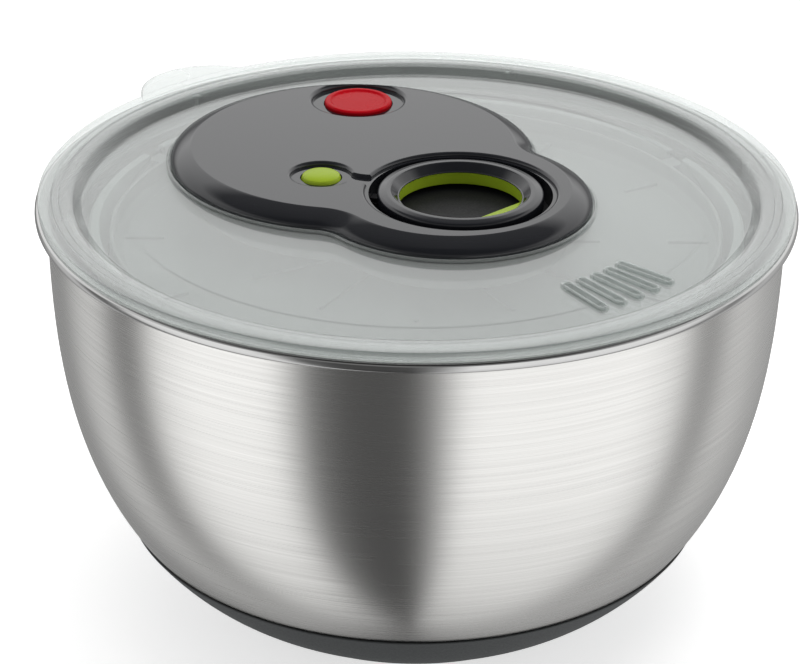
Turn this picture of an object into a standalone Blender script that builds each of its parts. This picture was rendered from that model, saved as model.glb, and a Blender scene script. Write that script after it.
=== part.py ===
"""A pull-cord salad spinner: steel bowl, spinning basket, and a clear lid that carries the mechanism.

Metres, +Z up. The origin is the centre of the base cap's underside, and the drive axis is the Z axis.
"""

import math

import bmesh
import bpy
from mathutils import Matrix

# Clearances
GAP = 0.0003              # between pieces that rest on or fit in each other
RUNNING_GAP = 0.0010      # between pieces that move past each other
PAST = 0.0020             # how far a cutter runs past the surface that it cuts
BITE = 0.0010             # how far a joined shape runs into its neighbour

# Bowl and base cap
RIM_RADIUS = 0.131        # outer edge of the rolled lip
LIP_WIDTH = 0.0035
LIP_DEPTH = 0.0035
BOWL_HEIGHT = 0.147
BOWL_WALL = 0.0010
BOWL_FOOT_RADIUS = 0.0646
BOWL_BELLY_POWER = 2.95
BOWL_ROUND_POWER = 1.50
CAP_THICKNESS = 0.0020
CAP_HEIGHT = 0.029

# Pivot on the bowl's floor
FOOT_RADIUS = 0.014
FOOT_HEIGHT = 0.0055
PIVOT_RADIUS = 0.0025
PIVOT_LENGTH = 0.0118

# Basket
BASKET_RIM_RADIUS = RIM_RADIUS - 0.0185
BASKET_LIP = 0.0025
BASKET_WALL = 0.0016
BASKET_FLOOR_RADIUS = 0.077
BASKET_FLOOR_LIFT = 0.0115    # basket floor above the bowl's floor
BASKET_BELOW_RIM = 0.009      # basket rim below the bowl's rim
BASKET_HUB_RADIUS = 0.007
BUSH_FLANGE = 0.0030

# Lid
LID_RADIUS = RIM_RADIUS - 0.0010
LID_EDGE = 0.0030
LID_WALL = 0.0020
LID_RECESS = 0.0040
LID_RECESS_RADIUS = LID_RADIUS - 0.0105
LID_SKIRT_RADIUS = LID_RADIUS - 0.0117
LID_SKIRT_DEPTH = 0.0110      # skirt's edge below the flange's top
RIB_REACH = 0.0032
RIB_WIDTH = 0.0020
RIB_AZIMUTH = 13.0
TAB_AZIMUTH = 131.5
TAB_REACH = 0.0130
TAB_RADIUS = 0.0256
TAB_THICKNESS = 0.0025
VENT_INNER = LID_RECESS_RADIUS - 0.0335
VENT_OUTER = LID_RECESS_RADIUS - 0.0105
VENT_WIDTH = 0.0025
VENT_RIM = 0.0010
VENT_RISE = 0.0011
VENT_AZIMUTHS = (-57.0, -53.0, -49.0, -45.0, -41.0)

# Mechanism cover: two round lobes with soft shoulders
BIG_LOBE = (-0.0225, 0.0300)
BIG_LOBE_RADIUS = 0.0650
SMALL_LOBE = (0.0120, -0.0080)
SMALL_LOBE_RADIUS = 0.0485
VALLEY_RADIUS = 0.0140
COVER_HEIGHT = 0.0060
COVER_WALL = 0.0016
SHOULDER = 0.0075
OPENING_INSET = 0.0078        # lid's opening inside the cover's outline
BOSS_RADIUS = 0.0036
BOSSES = ((0.0275, -0.0326), (-0.0640, 0.0540), (-0.0620, 0.0025), (0.0115, 0.0640))

# Cord pull
RING_CENTRE = (0.0150, -0.0110)
RING_RADIUS = 0.0285
RING_HOLE = RING_RADIUS - 0.0075
RING_DISH = RING_RADIUS + 0.0030
RING_DISH_DEPTH = 0.0090
RING_PROUD = 0.0003           # ring's top above the cover's top
INSERT_WALL = 0.0032
INSERT_HEIGHT = 0.0046
CORD_RADIUS = 0.00075
CORD_REACH = RING_HOLE - 0.0040   # cord's exit from the ring's centre
CORD_AZIMUTH = -49.8
# How far along its run the cord is, and how much of its height above the run's level is left
CORD_FALL = ((0.0, 1.0), (0.07, 0.93), (0.15, 0.55), (0.22, 0.12), (0.30, 0.0), (0.65, 0.0), (1.0, 0.0))
EYELET_WALL = 0.0010
PAD_CHORD = RING_HOLE - 0.0085
PAD_AZIMUTH = -47.0

# Buttons
STOP_CENTRE = (-0.0215, 0.0730)
STOP_RADIUS = 0.0125
STOP_DISH = STOP_RADIUS + 0.0050
STOP_DISH_DEPTH = 0.0018
STOP_TRAVEL = 0.0025
STOP_STEM = 0.0040
SHOE_RADIUS = 0.0055
RELEASE_CENTRE = (-0.0330, 0.0020)
RELEASE_RADIUS = 0.0070
RELEASE_DISH = RELEASE_RADIUS + 0.0040
RELEASE_DISH_DEPTH = 0.0014
RELEASE_TRAVEL = 0.0020
RELEASE_STEM = 0.0018
CHANNEL_WIDTH = 0.0110
CHANNEL_DEPTH = 0.0010
CHANNEL_OVERLAP = 0.0040      # how far the channel runs into the ring's dish
LATCH_WIDTH = 0.0040
LATCH_THICKNESS = 0.0016
LATCH_HEEL = 0.0012           # latch's inner end from where the stem may reach
LATCH_SLOT_BACK = 0.0040
LATCH_SLOT_AHEAD = 0.0020

# Gears and spool
MODULE = 0.0015
SPOOL_TEETH = 36
PINION_TEETH = 12
BACKLASH = 0.0003
GEAR_FACE = 0.0046
SPOOL_AZIMUTH = 125.0
DRUM_RADIUS = MODULE * SPOOL_TEETH / 2 - 0.0130
DRUM_WALL = 0.0016
FLANGE_THICKNESS = 0.0010
CORD_BUILD = 0.0040
SPOOL_FLANGE = DRUM_RADIUS + CORD_BUILD + 0.0010
AXLE_RADIUS = 0.0020
TRAY_WALL = 0.0020
TRAY_FLANGE = 0.0050
SCREW_RADIUS = 0.0011
SCREW_HEAD = 0.0028
SCREW_HEAD_HEIGHT = 0.0016
SCREW_GRIP = 0.0050           # screw's tip above the tray's floor

# Clutch and drive plate
SLEEVE_RADIUS = 0.0058
CARRIER_RADIUS = 0.0120
CARRIER_THICKNESS = 0.0020
PAWL_THICKNESS = 0.0022
CLUTCH_RADIUS = 0.0155
CLUTCH_WALL = 0.0025
CLUTCH_FLOOR = 0.0015
PLATE_WALL = 0.0020
PLATE_RADIUS = BASKET_RIM_RADIUS - 0.0065
PLATE_RIM_HEIGHT = 0.0082
LUG_WIDTH = 0.0070
LUG_COUNT = 6
CLIP_RADIUS = 0.0050
CLIP_THICKNESS = 0.0008

# Facets
ROUND_LARGE = 40
ROUND_MEDIUM = 28
ROUND_SMALL = 20

# Heights that follow from the sizes above
BOWL_UNDERSIDE = CAP_THICKNESS + GAP
BOWL_FLOOR = BOWL_UNDERSIDE + BOWL_WALL
LID_PLANE = BOWL_HEIGHT + GAP + LID_EDGE
FLOOR_TOP = LID_PLANE - LID_RECESS
FLOOR_UNDER = FLOOR_TOP - LID_WALL
COVER_FOOT = FLOOR_TOP + GAP
COVER_TOP = FLOOR_TOP + COVER_HEIGHT
CEILING = COVER_TOP - COVER_WALL
DISH_FLOOR = COVER_TOP - RING_DISH_DEPTH
CUP_UNDER = DISH_FLOOR - COVER_WALL
GEAR_TOP = CUP_UNDER - 2 * CORD_RADIUS - RUNNING_GAP
GEAR_UNDER = GEAR_TOP - GEAR_FACE
TRAY_FLOOR = GEAR_UNDER - RUNNING_GAP
TRAY_UNDER = TRAY_FLOOR - TRAY_WALL
CARRIER_TOP = TRAY_UNDER - RUNNING_GAP / 2
CARRIER_UNDER = CARRIER_TOP - CARRIER_THICKNESS
PAWL_TOP = CARRIER_UNDER - GAP
PAWL_UNDER = PAWL_TOP - PAWL_THICKNESS
CLUTCH_FLOOR_TOP = PAWL_UNDER - RUNNING_GAP / 2
CLUTCH_UNDER = CLUTCH_FLOOR_TOP - CLUTCH_FLOOR
PLATE_CUP_TOP = CLUTCH_UNDER - GAP
PLATE_CUP_UNDER = PLATE_CUP_TOP - PLATE_WALL
PLATE_TOP = TRAY_UNDER - STOP_TRAVEL - RUNNING_GAP
AXLE_END = PLATE_CUP_UNDER - GAP - CLIP_THICKNESS - RUNNING_GAP
RELEASE_TOP = COVER_TOP - RELEASE_DISH_DEPTH + 0.0008
RELEASE_SKIRT = RELEASE_TOP - 0.0028
LATCH_HIGH = RELEASE_SKIRT - RELEASE_TRAVEL - 2 * GAP
RING_UNDER = DISH_FLOOR + RUNNING_GAP + 2 * GAP
RING_TOP = COVER_TOP + RING_PROUD
BASKET_FLOOR = BOWL_FLOOR + BASKET_FLOOR_LIFT
BASKET_TOP = BOWL_HEIGHT - BASKET_BELOW_RIM

# Places that follow from the sizes above
CENTRE_DISTANCE = MODULE * (SPOOL_TEETH + PINION_TEETH) / 2
SPOOL_CENTRE = (
    CENTRE_DISTANCE * math.cos(math.radians(SPOOL_AZIMUTH)),
    CENTRE_DISTANCE * math.sin(math.radians(SPOOL_AZIMUTH)),
)
CORD_EXIT = (
    RING_CENTRE[0] + CORD_REACH * math.cos(math.radians(CORD_AZIMUTH)),
    RING_CENTRE[1] + CORD_REACH * math.sin(math.radians(CORD_AZIMUTH)),
)


# Scene and shared steps

def clear_scene():
    for obj in list(bpy.data.objects):
        bpy.data.objects.remove(obj, do_unlink=True)


def make_collection(name):
    collection = bpy.data.collections.new(name)
    bpy.context.scene.collection.children.link(collection)
    return collection


def make_material(name, colour, roughness, metallic=0.0, alpha=1.0):
    material = bpy.data.materials.new(name)
    material.use_nodes = True
    shader = material.node_tree.nodes["Principled BSDF"]
    shader.inputs["Base Color"].default_value = (*colour, 1.0)
    shader.inputs["Roughness"].default_value = roughness
    shader.inputs["Metallic"].default_value = metallic
    shader.inputs["Alpha"].default_value = alpha
    return material


def add_object(name, bm, at=(0.0, 0.0), material=None):
    """Makes an object of the mesh: a part if it has a material, else a cutter or a shape to join."""
    mesh = bpy.data.meshes.new(name)
    bm.to_mesh(mesh)
    bm.free()
    obj = bpy.data.objects.new(name, mesh)
    obj.location = (at[0], at[1], 0.0)
    if material:
        mesh.materials.append(material)
        PARTS.objects.link(obj)
    else:
        obj.hide_render = True
        obj.display_type = "WIRE"
        CUTTERS.objects.link(obj)
    return obj


def smooth(obj):
    obj.data.shade_smooth()
    obj.data.set_sharp_from_angle(angle=math.radians(35.0))


def turned(name, profile, material=None, at=(0.0, 0.0), segments=ROUND_MEDIUM, ring=False):
    """Turns a profile of (radius, z) points about a vertical axis. A ring's profile closes on itself."""
    bm = bmesh.new()
    points = [bm.verts.new((radius, 0.0, z)) for radius, z in profile]
    for first, second in zip(points, points[1:]):
        bm.edges.new((first, second))
    if ring:
        bm.edges.new((points[-1], points[0]))
    obj = add_object(name, bm, at, material)
    screw = obj.modifiers.new("Turn", "SCREW")
    screw.axis = "Z"
    screw.steps = segments
    screw.render_steps = segments
    screw.use_merge_vertices = True
    screw.merge_threshold = 0.00001
    screw.use_smooth_shade = True
    return obj


def tube_profile(inner, outer, low, high):
    return [(inner, high), (outer, high), (outer, low), (inner, low)]


def rod_profile(radius, low, high, chamfer=0.0):
    return [(0.0, high), (radius - chamfer, high), (radius, high - chamfer), (radius, low), (0.0, low)]


def cylinder(name, radius, low, high, at=(0.0, 0.0), segments=ROUND_SMALL):
    """A plain cylinder that cuts a hole or joins another shape."""
    bm = bmesh.new()
    bmesh.ops.create_cone(
        bm, cap_ends=True, segments=segments, radius1=radius, radius2=radius, depth=high - low,
        matrix=Matrix.Translation((0.0, 0.0, (low + high) / 2)),
    )
    return add_object(name, bm, at)


def radial_box(name, inner, outer, width, low, high, azimuth, at=(0.0, 0.0)):
    """A box that runs outward from a vertical axis."""
    bm = bmesh.new()
    size = Matrix.Diagonal((outer - inner, width, high - low, 1.0))
    place = Matrix.Translation(((inner + outer) / 2, 0.0, (low + high) / 2))
    turn = Matrix.Rotation(math.radians(azimuth), 4, "Z")
    bmesh.ops.create_cube(bm, size=1.0, matrix=turn @ place @ size)
    return add_object(name, bm, at)


def prism(name, outline, low, high, material=None, at=(0.0, 0.0)):
    """Raises a flat outline, given anticlockwise, from one height to another."""
    bm = bmesh.new()
    face = bm.faces.new([bm.verts.new((x, y, low)) for x, y in outline])
    raised = bmesh.ops.extrude_face_region(bm, geom=[face], use_keep_orig=True)
    top = [item for item in raised["geom"] if isinstance(item, bmesh.types.BMVert)]
    bmesh.ops.translate(bm, verts=top, vec=(0.0, 0.0, high - low))
    bmesh.ops.recalc_face_normals(bm, faces=bm.faces)
    return add_object(name, bm, at, material)


def shape_with(obj, operation, *tools):
    """Cuts, joins or keeps the overlap of an object with other shapes, in turn."""
    for tool in tools:
        boolean = obj.modifiers.new(tool.name, "BOOLEAN")
        boolean.operation = operation
        boolean.solver = "EXACT"
        boolean.object = tool
    return obj


def arc(centre, radius, start, end, steps):
    """Points along an arc, both ends included. Angles are in radians."""
    points = []
    for step in range(steps + 1):
        angle = start + (end - start) * step / steps
        points.append((centre[0] + radius * math.cos(angle), centre[1] + radius * math.sin(angle)))
    return points


def turn_points(points, azimuth):
    angle = math.radians(azimuth)
    cosine, sine = math.cos(angle), math.sin(angle)
    return [(x * cosine - y * sine, x * sine + y * cosine) for x, y in points]


def stadium(inner, outer, half_width, azimuth, end_steps=5):
    """The outline of a slot with round ends that runs outward from the axis."""
    far = arc((outer - half_width, 0.0), half_width, -math.pi / 2, math.pi / 2, end_steps)
    near = arc((inner + half_width, 0.0), half_width, math.pi / 2, 3 * math.pi / 2, end_steps)
    return turn_points(far + near, azimuth)


def coil(name, radius, wire, low, high, turns, material, at):
    """A helical spring of round wire with its ends cut flat against its seats."""
    steps_per_turn = 9
    curve = bpy.data.curves.new(name, "CURVE")
    curve.dimensions = "3D"
    curve.bevel_depth = wire
    curve.bevel_resolution = 2
    curve.use_fill_caps = True
    spline = curve.splines.new("POLY")
    count = int(turns * steps_per_turn) + 1
    spline.points.add(count - 1)
    for index, point in enumerate(spline.points):
        angle = 2 * math.pi * index / steps_per_turn
        z = low + wire + (high - low - 2 * wire) * index / (count - 1)
        point.co = (radius * math.cos(angle), radius * math.sin(angle), z, 1.0)
    obj = bpy.data.objects.new(name, curve)
    obj.location = (at[0], at[1], 0.0)
    curve.materials.append(material)
    PARTS.objects.link(obj)
    return obj


# Bowl, base cap and pivot

def bowl_radius(height):
    """The bowl's outer radius at a height: a small foot that swells into a nearly upright wall."""
    belly = 1.0 - (1.0 - height / BOWL_HEIGHT) ** BOWL_BELLY_POWER
    wall_radius = RIM_RADIUS - LIP_WIDTH - BOWL_WALL / 2
    return BOWL_FOOT_RADIUS + (wall_radius - BOWL_FOOT_RADIUS) * belly ** (1.0 / BOWL_ROUND_POWER)


BOWL_STATIONS = (0.0, 0.012, 0.040, 0.095, 0.19, 0.33, 0.52, 0.75)


def bowl_wall(first, last, offset):
    """Wall points from the foot upward, moved inward by an offset."""
    points = []
    for share in BOWL_STATIONS:
        height = first + (last - first) * share
        points.append((bowl_radius(height) - offset, height))
    return points


def make_bowl(steel):
    lip_top = BOWL_HEIGHT
    lip_under = BOWL_HEIGHT - LIP_DEPTH
    outer = bowl_wall(BOWL_UNDERSIDE, lip_under, 0.0)
    inner = bowl_wall(BOWL_FLOOR, lip_under, BOWL_WALL)
    wall = bowl_radius(lip_under)
    bead = [
        (wall - BOWL_WALL, lip_under), (wall - BOWL_WALL, lip_top - 0.0010), (wall + 0.0004, lip_top),
        (RIM_RADIUS - 0.0010, lip_top), (RIM_RADIUS, lip_top - 0.0010),
        (RIM_RADIUS, lip_under + 0.0008), (RIM_RADIUS - 0.0008, lip_under), (wall, lip_under),
    ]
    profile = [(0.0, BOWL_FLOOR)] + inner + bead + outer[::-1] + [(0.0, BOWL_UNDERSIDE)]
    smooth(turned("bowl", profile, steel, segments=ROUND_LARGE))


def make_base_cap(rubber):
    """A thin cup that the bowl stands in."""
    stations = 4
    inner = []
    outer = []
    for index in range(stations + 1):
        share = (index / stations) ** 1.8
        height = BOWL_UNDERSIDE + (CAP_HEIGHT - BOWL_UNDERSIDE) * share
        radius = bowl_radius(height) + GAP
        inner.append((radius + GAP * (1.0 - share), height))
        outer.append((radius + CAP_THICKNESS * 0.6, height + GAP * share))
    floor_edge = [(outer[0][0] - 0.0012, 0.0), (0.0, 0.0)]
    profile = [(0.0, CAP_THICKNESS), (inner[0][0] - 0.001, CAP_THICKNESS)] + inner[1:]
    profile += outer[::-1] + floor_edge
    smooth(turned("base_cap", profile, rubber, segments=ROUND_LARGE))


def make_pivot(plastic, steel):
    low = BOWL_FLOOR + GAP
    top = BOWL_FLOOR + FOOT_HEIGHT
    socket = PIVOT_RADIUS + GAP
    socket_floor = low + 0.0010
    profile = [
        (0.0, socket_floor), (socket, socket_floor), (socket, top), (FOOT_RADIUS * 0.6, top),
        (FOOT_RADIUS, low + 0.0015), (FOOT_RADIUS, low), (0.0, low),
    ]
    smooth(turned("pivot_foot", profile, plastic, segments=ROUND_SMALL))
    pin_low = socket_floor + GAP
    pin_top = pin_low + PIVOT_LENGTH
    dome = [(0.0, pin_top), (PIVOT_RADIUS * 0.6, pin_top - 0.0005), (PIVOT_RADIUS, pin_top - 0.0018)]
    smooth(turned("pivot_pin", dome + [(PIVOT_RADIUS, pin_low), (0.0, pin_low)], steel, segments=ROUND_SMALL))
    return pin_top


# Basket and its bush

BASKET_ROWS = (0.0, 0.06, 0.22, 0.25, 0.52, 0.56, 0.86, 1.0)
BASKET_SLOT_ROWS = (3, 5)
FLOOR_SLOTS = (0.35, 0.94)


def basket_radius(height):
    rise = (height - BASKET_FLOOR) / (BASKET_TOP - BASKET_FLOOR)
    belly = (1.0 - (1.0 - rise) ** 3.0) ** (1.0 / 1.6)
    return BASKET_FLOOR_RADIUS + (BASKET_RIM_RADIUS - BASKET_LIP - BASKET_FLOOR_RADIUS) * belly


def make_basket(plastic):
    """A turned wall of ribs and slots, given its thickness afterwards."""
    profile = [(BASKET_HUB_RADIUS, BASKET_FLOOR)]
    profile += [(BASKET_FLOOR_RADIUS * share, BASKET_FLOOR) for share in FLOOR_SLOTS]
    for share in BASKET_ROWS:
        height = BASKET_FLOOR + 0.0035 + (BASKET_TOP - BASKET_FLOOR - 0.0035) * share
        profile.append((basket_radius(height), height))
    profile.append((BASKET_RIM_RADIUS, BASKET_TOP))
    profile.append((BASKET_RIM_RADIUS, BASKET_TOP - 0.0035))
    bm = bmesh.new()
    points = [bm.verts.new((radius, 0.0, z)) for radius, z in profile]
    edges = [bm.edges.new(pair) for pair in zip(points, points[1:])]
    bmesh.ops.spin(
        bm, geom=points + edges, axis=(0.0, 0.0, 1.0), cent=(0.0, 0.0, 0.0),
        steps=ROUND_LARGE, angle=2 * math.pi, use_merge=True,
    )
    first_wall = 1 + len(FLOOR_SLOTS)
    slot_rows = [1] + [first_wall + row for row in BASKET_SLOT_ROWS]
    middles = []
    for first, second in zip(profile, profile[1:]):
        middles.append(((first[0] + second[0]) / 2, (first[1] + second[1]) / 2))
    open_faces = []
    for face in bm.faces:
        centre = face.calc_center_median()
        radius = math.hypot(centre.x, centre.y)
        distances = [math.hypot(radius - r, centre.z - z) for r, z in middles]
        row = distances.index(min(distances))
        turn = math.degrees(math.atan2(centre.y, centre.x)) % 360.0
        sector = int(turn / (360.0 / ROUND_LARGE))
        if row in slot_rows and sector % 2 == 0:
            open_faces.append(face)
    bmesh.ops.delete(bm, geom=open_faces, context="FACES")
    bmesh.ops.recalc_face_normals(bm, faces=bm.faces)
    basket = add_object("basket", bm, material=plastic)
    wall = basket.modifiers.new("Wall", "SOLIDIFY")
    wall.thickness = BASKET_WALL
    wall.offset = 0.0
    notches = []
    for index in range(LUG_COUNT):
        notches.append(radial_box(
            "cut_notch_%d" % (index + 1), PLATE_RADIUS - 0.003, BASKET_RIM_RADIUS + 0.003,
            LUG_WIDTH + 2 * RUNNING_GAP, PLATE_TOP + PLATE_RIM_HEIGHT - 0.0045, BASKET_TOP + 0.003,
            lug_azimuth(index),
        ))
    shape_with(basket, "DIFFERENCE", *notches)
    smooth(basket)


def make_bush(plastic, pin_top):
    """The bearing that stays on the pin while the basket turns on it."""
    floor_under = BASKET_FLOOR - BASKET_WALL / 2 - GAP
    flange_low = floor_under - 0.0025
    bore = PIVOT_RADIUS + GAP
    neck = BASKET_HUB_RADIUS - GAP
    top = BASKET_FLOOR + 0.0030
    profile = [
        (0.0, top), (neck - 0.0005, top), (neck, top - 0.0005), (neck, floor_under),
        (neck + BUSH_FLANGE, floor_under), (neck + BUSH_FLANGE, flange_low), (bore, flange_low),
        (bore, pin_top - 0.0010), (0.0, pin_top + GAP),
    ]
    smooth(turned("basket_bush", profile, plastic, segments=ROUND_SMALL))


# Lid

def lug_azimuth(index):
    """Azimuth of a drive lug, and of the notch that it sits in."""
    return (index + 0.5) * 360.0 / LUG_COUNT


def lobed_outline(inset, big_steps=20, small_steps=14, valley_steps=3):
    """The cover's two-lobed outline, moved inward by an inset, anticlockwise from the lower valley."""
    gap_x = SMALL_LOBE[0] - BIG_LOBE[0]
    gap_y = SMALL_LOBE[1] - BIG_LOBE[1]
    spacing = math.hypot(gap_x, gap_y)
    line = math.atan2(gap_y, gap_x)
    to_big = BIG_LOBE_RADIUS + VALLEY_RADIUS
    to_small = SMALL_LOBE_RADIUS + VALLEY_RADIUS
    at_big = math.acos((to_big ** 2 + spacing ** 2 - to_small ** 2) / (2 * to_big * spacing))
    at_small = math.acos((to_small ** 2 + spacing ** 2 - to_big ** 2) / (2 * to_small * spacing))
    upper = (BIG_LOBE[0] + to_big * math.cos(line + at_big), BIG_LOBE[1] + to_big * math.sin(line + at_big))
    lower = (BIG_LOBE[0] + to_big * math.cos(line - at_big), BIG_LOBE[1] + to_big * math.sin(line - at_big))
    big_end = line - at_big
    big_start = line + at_big - 2 * math.pi
    small_start = line + math.pi + at_small
    small_end = line + 3 * math.pi - at_small
    big = arc(BIG_LOBE, BIG_LOBE_RADIUS - inset, big_start, big_end, big_steps)
    small = arc(SMALL_LOBE, SMALL_LOBE_RADIUS - inset, small_start, small_end, small_steps)
    first = arc(lower, VALLEY_RADIUS + inset, big_end + math.pi, small_start - math.pi, valley_steps)
    second = arc(upper, VALLEY_RADIUS + inset, small_end - math.pi, big_start + 3 * math.pi, valley_steps)
    return big + first[1:-1] + small + second[1:-1]


def lobed_solid(name, levels, material=None):
    """A closed loft through lobed outlines, given as (inset, z) from its lower cap to its upper cap."""
    bm = bmesh.new()
    rings = []
    for inset, z in levels:
        rings.append([bm.verts.new((x, y, z)) for x, y in lobed_outline(inset)])
    for lower, upper in zip(rings, rings[1:]):
        for index in range(len(lower)):
            after = (index + 1) % len(lower)
            bm.faces.new((lower[index], lower[after], upper[after], upper[index]))
    bm.faces.new(rings[0][::-1])
    bm.faces.new(rings[-1])
    bmesh.ops.recalc_face_normals(bm, faces=bm.faces)
    return add_object(name, bm, material=material)


def make_lid(clear):
    edge = LID_RADIUS
    under = LID_PLANE - LID_EDGE
    step = 0.0040
    skirt_inner = LID_SKIRT_RADIUS - LID_WALL
    skirt_low = LID_PLANE - LID_SKIRT_DEPTH
    profile = [
        (0.0, FLOOR_TOP), (LID_RECESS_RADIUS - LID_RECESS, FLOOR_TOP), (LID_RECESS_RADIUS, LID_PLANE),
        (edge - 0.0010, LID_PLANE), (edge, LID_PLANE - 0.0010), (edge, under + 0.0008),
        (edge - 0.0008, under), (edge - step, under), (edge - step - 0.0010, LID_PLANE - LID_WALL),
        (LID_SKIRT_RADIUS + 0.0015, LID_PLANE - LID_WALL), (LID_SKIRT_RADIUS, LID_PLANE - LID_WALL - 0.0015),
        (LID_SKIRT_RADIUS, skirt_low), (skirt_inner, skirt_low), (skirt_inner, FLOOR_UNDER),
        (0.0, FLOOR_UNDER),
    ]
    lid = turned("lid", profile, clear, segments=ROUND_LARGE)
    ribs = []
    for index in range(6):
        ribs.append(radial_box(
            "join_rib_%d" % (index + 1), LID_SKIRT_RADIUS - LID_WALL / 2, LID_SKIRT_RADIUS + RIB_REACH,
            RIB_WIDTH, skirt_low + 0.0020, LID_PLANE - LID_WALL - 0.0018, RIB_AZIMUTH + 60.0 * index,
        ))
    shape_with(lid, "UNION", *ribs)
    shape_with(lid, "UNION", make_tab())
    for index, azimuth in enumerate(VENT_AZIMUTHS):
        half = VENT_WIDTH / 2
        loop = stadium(VENT_INNER, VENT_OUTER, half + VENT_RIM, azimuth)
        slot = stadium(VENT_INNER + VENT_RIM, VENT_OUTER - VENT_RIM, half, azimuth)
        raised = prism("join_vent_%d" % (index + 1), loop, FLOOR_TOP - BITE / 2, FLOOR_TOP + VENT_RISE)
        hole = prism("cut_vent_%d" % (index + 1), slot, FLOOR_UNDER - PAST, FLOOR_TOP + PAST)
        shape_with(lid, "UNION", raised)
        shape_with(lid, "DIFFERENCE", hole)
    opening = lobed_solid("cut_opening", [
        (OPENING_INSET, FLOOR_UNDER - PAST), (OPENING_INSET, FLOOR_TOP + PAST),
    ])
    shape_with(lid, "DIFFERENCE", opening)
    smooth(lid)


def make_tab():
    """The grip tab: a round lug clipped so that it only stands outside the flange."""
    reach = LID_RADIUS + TAB_REACH - TAB_RADIUS
    turn = math.radians(TAB_AZIMUTH)
    centre = (reach * math.cos(turn), reach * math.sin(turn))
    top = LID_PLANE - 0.0002
    tab = cylinder("join_tab", TAB_RADIUS, top - TAB_THICKNESS, top, centre, ROUND_MEDIUM)
    inside = cylinder("cut_tab", LID_RADIUS - 0.0030, top - 0.010, top + 0.010, segments=ROUND_LARGE)
    return shape_with(tab, "DIFFERENCE", inside)


# Mechanism cover, gear tray and screws

def make_cover(plastic):
    """A lobed shell with cups let into it for the ring and the two buttons."""
    wall = COVER_WALL
    outer = [
        (0.0, COVER_FOOT), (0.0, COVER_FOOT + 0.0022), (0.0009, COVER_TOP - 0.0018),
        (0.0032, COVER_TOP - 0.0005), (SHOULDER, COVER_TOP),
    ]
    inner = [
        (SHOULDER + wall, CEILING), (0.0032 + wall, CEILING - 0.0006),
        (wall, COVER_FOOT + 0.0016), (wall, COVER_FOOT),
    ]
    cover = lobed_solid("housing_cover", inner + outer, plastic)
    cup_top = COVER_TOP - 0.0012
    collar_low = COVER_FOOT + 0.0002
    guide_low = CUP_UNDER - 0.0003
    cups = [
        cylinder("join_ring_cup", RING_DISH + wall, CUP_UNDER, cup_top, RING_CENTRE, ROUND_LARGE),
        cylinder("join_stop_cup", STOP_DISH + wall, collar_low, cup_top, STOP_CENTRE, ROUND_MEDIUM),
        cylinder("join_release_cup", RELEASE_RADIUS + 2 * wall, guide_low, cup_top, RELEASE_CENTRE, 24),
        cylinder("join_axle_boss", AXLE_RADIUS + 2 * wall, GEAR_TOP + 0.0008, DISH_FLOOR - 0.0004),
        cylinder("join_spool_boss", AXLE_RADIUS + 2 * wall, CEILING - 0.0020, cup_top, SPOOL_CENTRE),
    ]
    boss_low = TRAY_FLOOR + GAP
    for index, place in enumerate(BOSSES):
        under_dish = math.hypot(place[0] - RING_CENTRE[0], place[1] - RING_CENTRE[1]) < RING_DISH
        boss_top = DISH_FLOOR - 0.0005 if under_dish else cup_top
        cups.append(cylinder("join_boss_%d" % (index + 1), BOSS_RADIUS, boss_low, boss_top, place, 16))
    shape_with(cover, "UNION", *cups)
    above = COVER_TOP + 0.002
    release_floor = CUP_UNDER + 0.0010
    axle_hole = AXLE_RADIUS + GAP
    cord_hole = CORD_RADIUS + EYELET_WALL + 2 * GAP
    screw_hole = SCREW_RADIUS + GAP
    screw_depth = boss_low + SCREW_GRIP + BITE
    cuts = [
        cylinder("cut_ring_dish", RING_DISH, DISH_FLOOR, above, RING_CENTRE, ROUND_LARGE),
        cylinder("cut_stop_dish", STOP_DISH, COVER_TOP - STOP_DISH_DEPTH, above, STOP_CENTRE, ROUND_MEDIUM),
        cylinder("cut_stop_hole", STOP_RADIUS + GAP, collar_low - 0.002, above, STOP_CENTRE, 32),
        cylinder("cut_release_dish", RELEASE_DISH, COVER_TOP - RELEASE_DISH_DEPTH, above, RELEASE_CENTRE, 28),
        cylinder("cut_release_hole", RELEASE_RADIUS + GAP, release_floor, above, RELEASE_CENTRE, 24),
        cylinder("cut_cord_hole", cord_hole, CUP_UNDER - BITE, DISH_FLOOR + BITE, CORD_EXIT, 16),
        cylinder("cut_axle_hole", axle_hole, GEAR_TOP - BITE, CUP_UNDER, segments=16),
        cylinder("cut_spool_hole", axle_hole, CEILING - PAST - BITE, CEILING, SPOOL_CENTRE, 16),
    ]
    for index, place in enumerate(BOSSES):
        name = "cut_screw_%d" % (index + 1)
        cuts.append(cylinder(name, screw_hole, boss_low - BITE, screw_depth, place, 12))
    cuts.append(latch_bar("cut_latch", GAP, LATCH_SLOT_BACK, LATCH_SLOT_AHEAD))
    cuts.append(channel_cut())
    shape_with(cover, "DIFFERENCE", *cuts)
    smooth(cover)


def latch_line():
    """Distance and azimuth from the release button to the ring's centre."""
    run_x = RING_CENTRE[0] - RELEASE_CENTRE[0]
    run_y = RING_CENTRE[1] - RELEASE_CENTRE[1]
    return math.hypot(run_x, run_y), math.degrees(math.atan2(run_y, run_x))


def latch_bar(name, clearance=0.0, back=0.0, ahead=0.0):
    """The sliding latch between the release button and the ring, or with clearance the slot it runs in."""
    distance, azimuth = latch_line()
    inner = RELEASE_STEM + 2 * GAP + RELEASE_TRAVEL + LATCH_HEEL - back
    outer = distance - RING_RADIUS - GAP + ahead
    return radial_box(
        name, inner, outer, LATCH_WIDTH + 2 * clearance, LATCH_HIGH - LATCH_THICKNESS - clearance,
        LATCH_HIGH + clearance, azimuth, RELEASE_CENTRE,
    )


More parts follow.
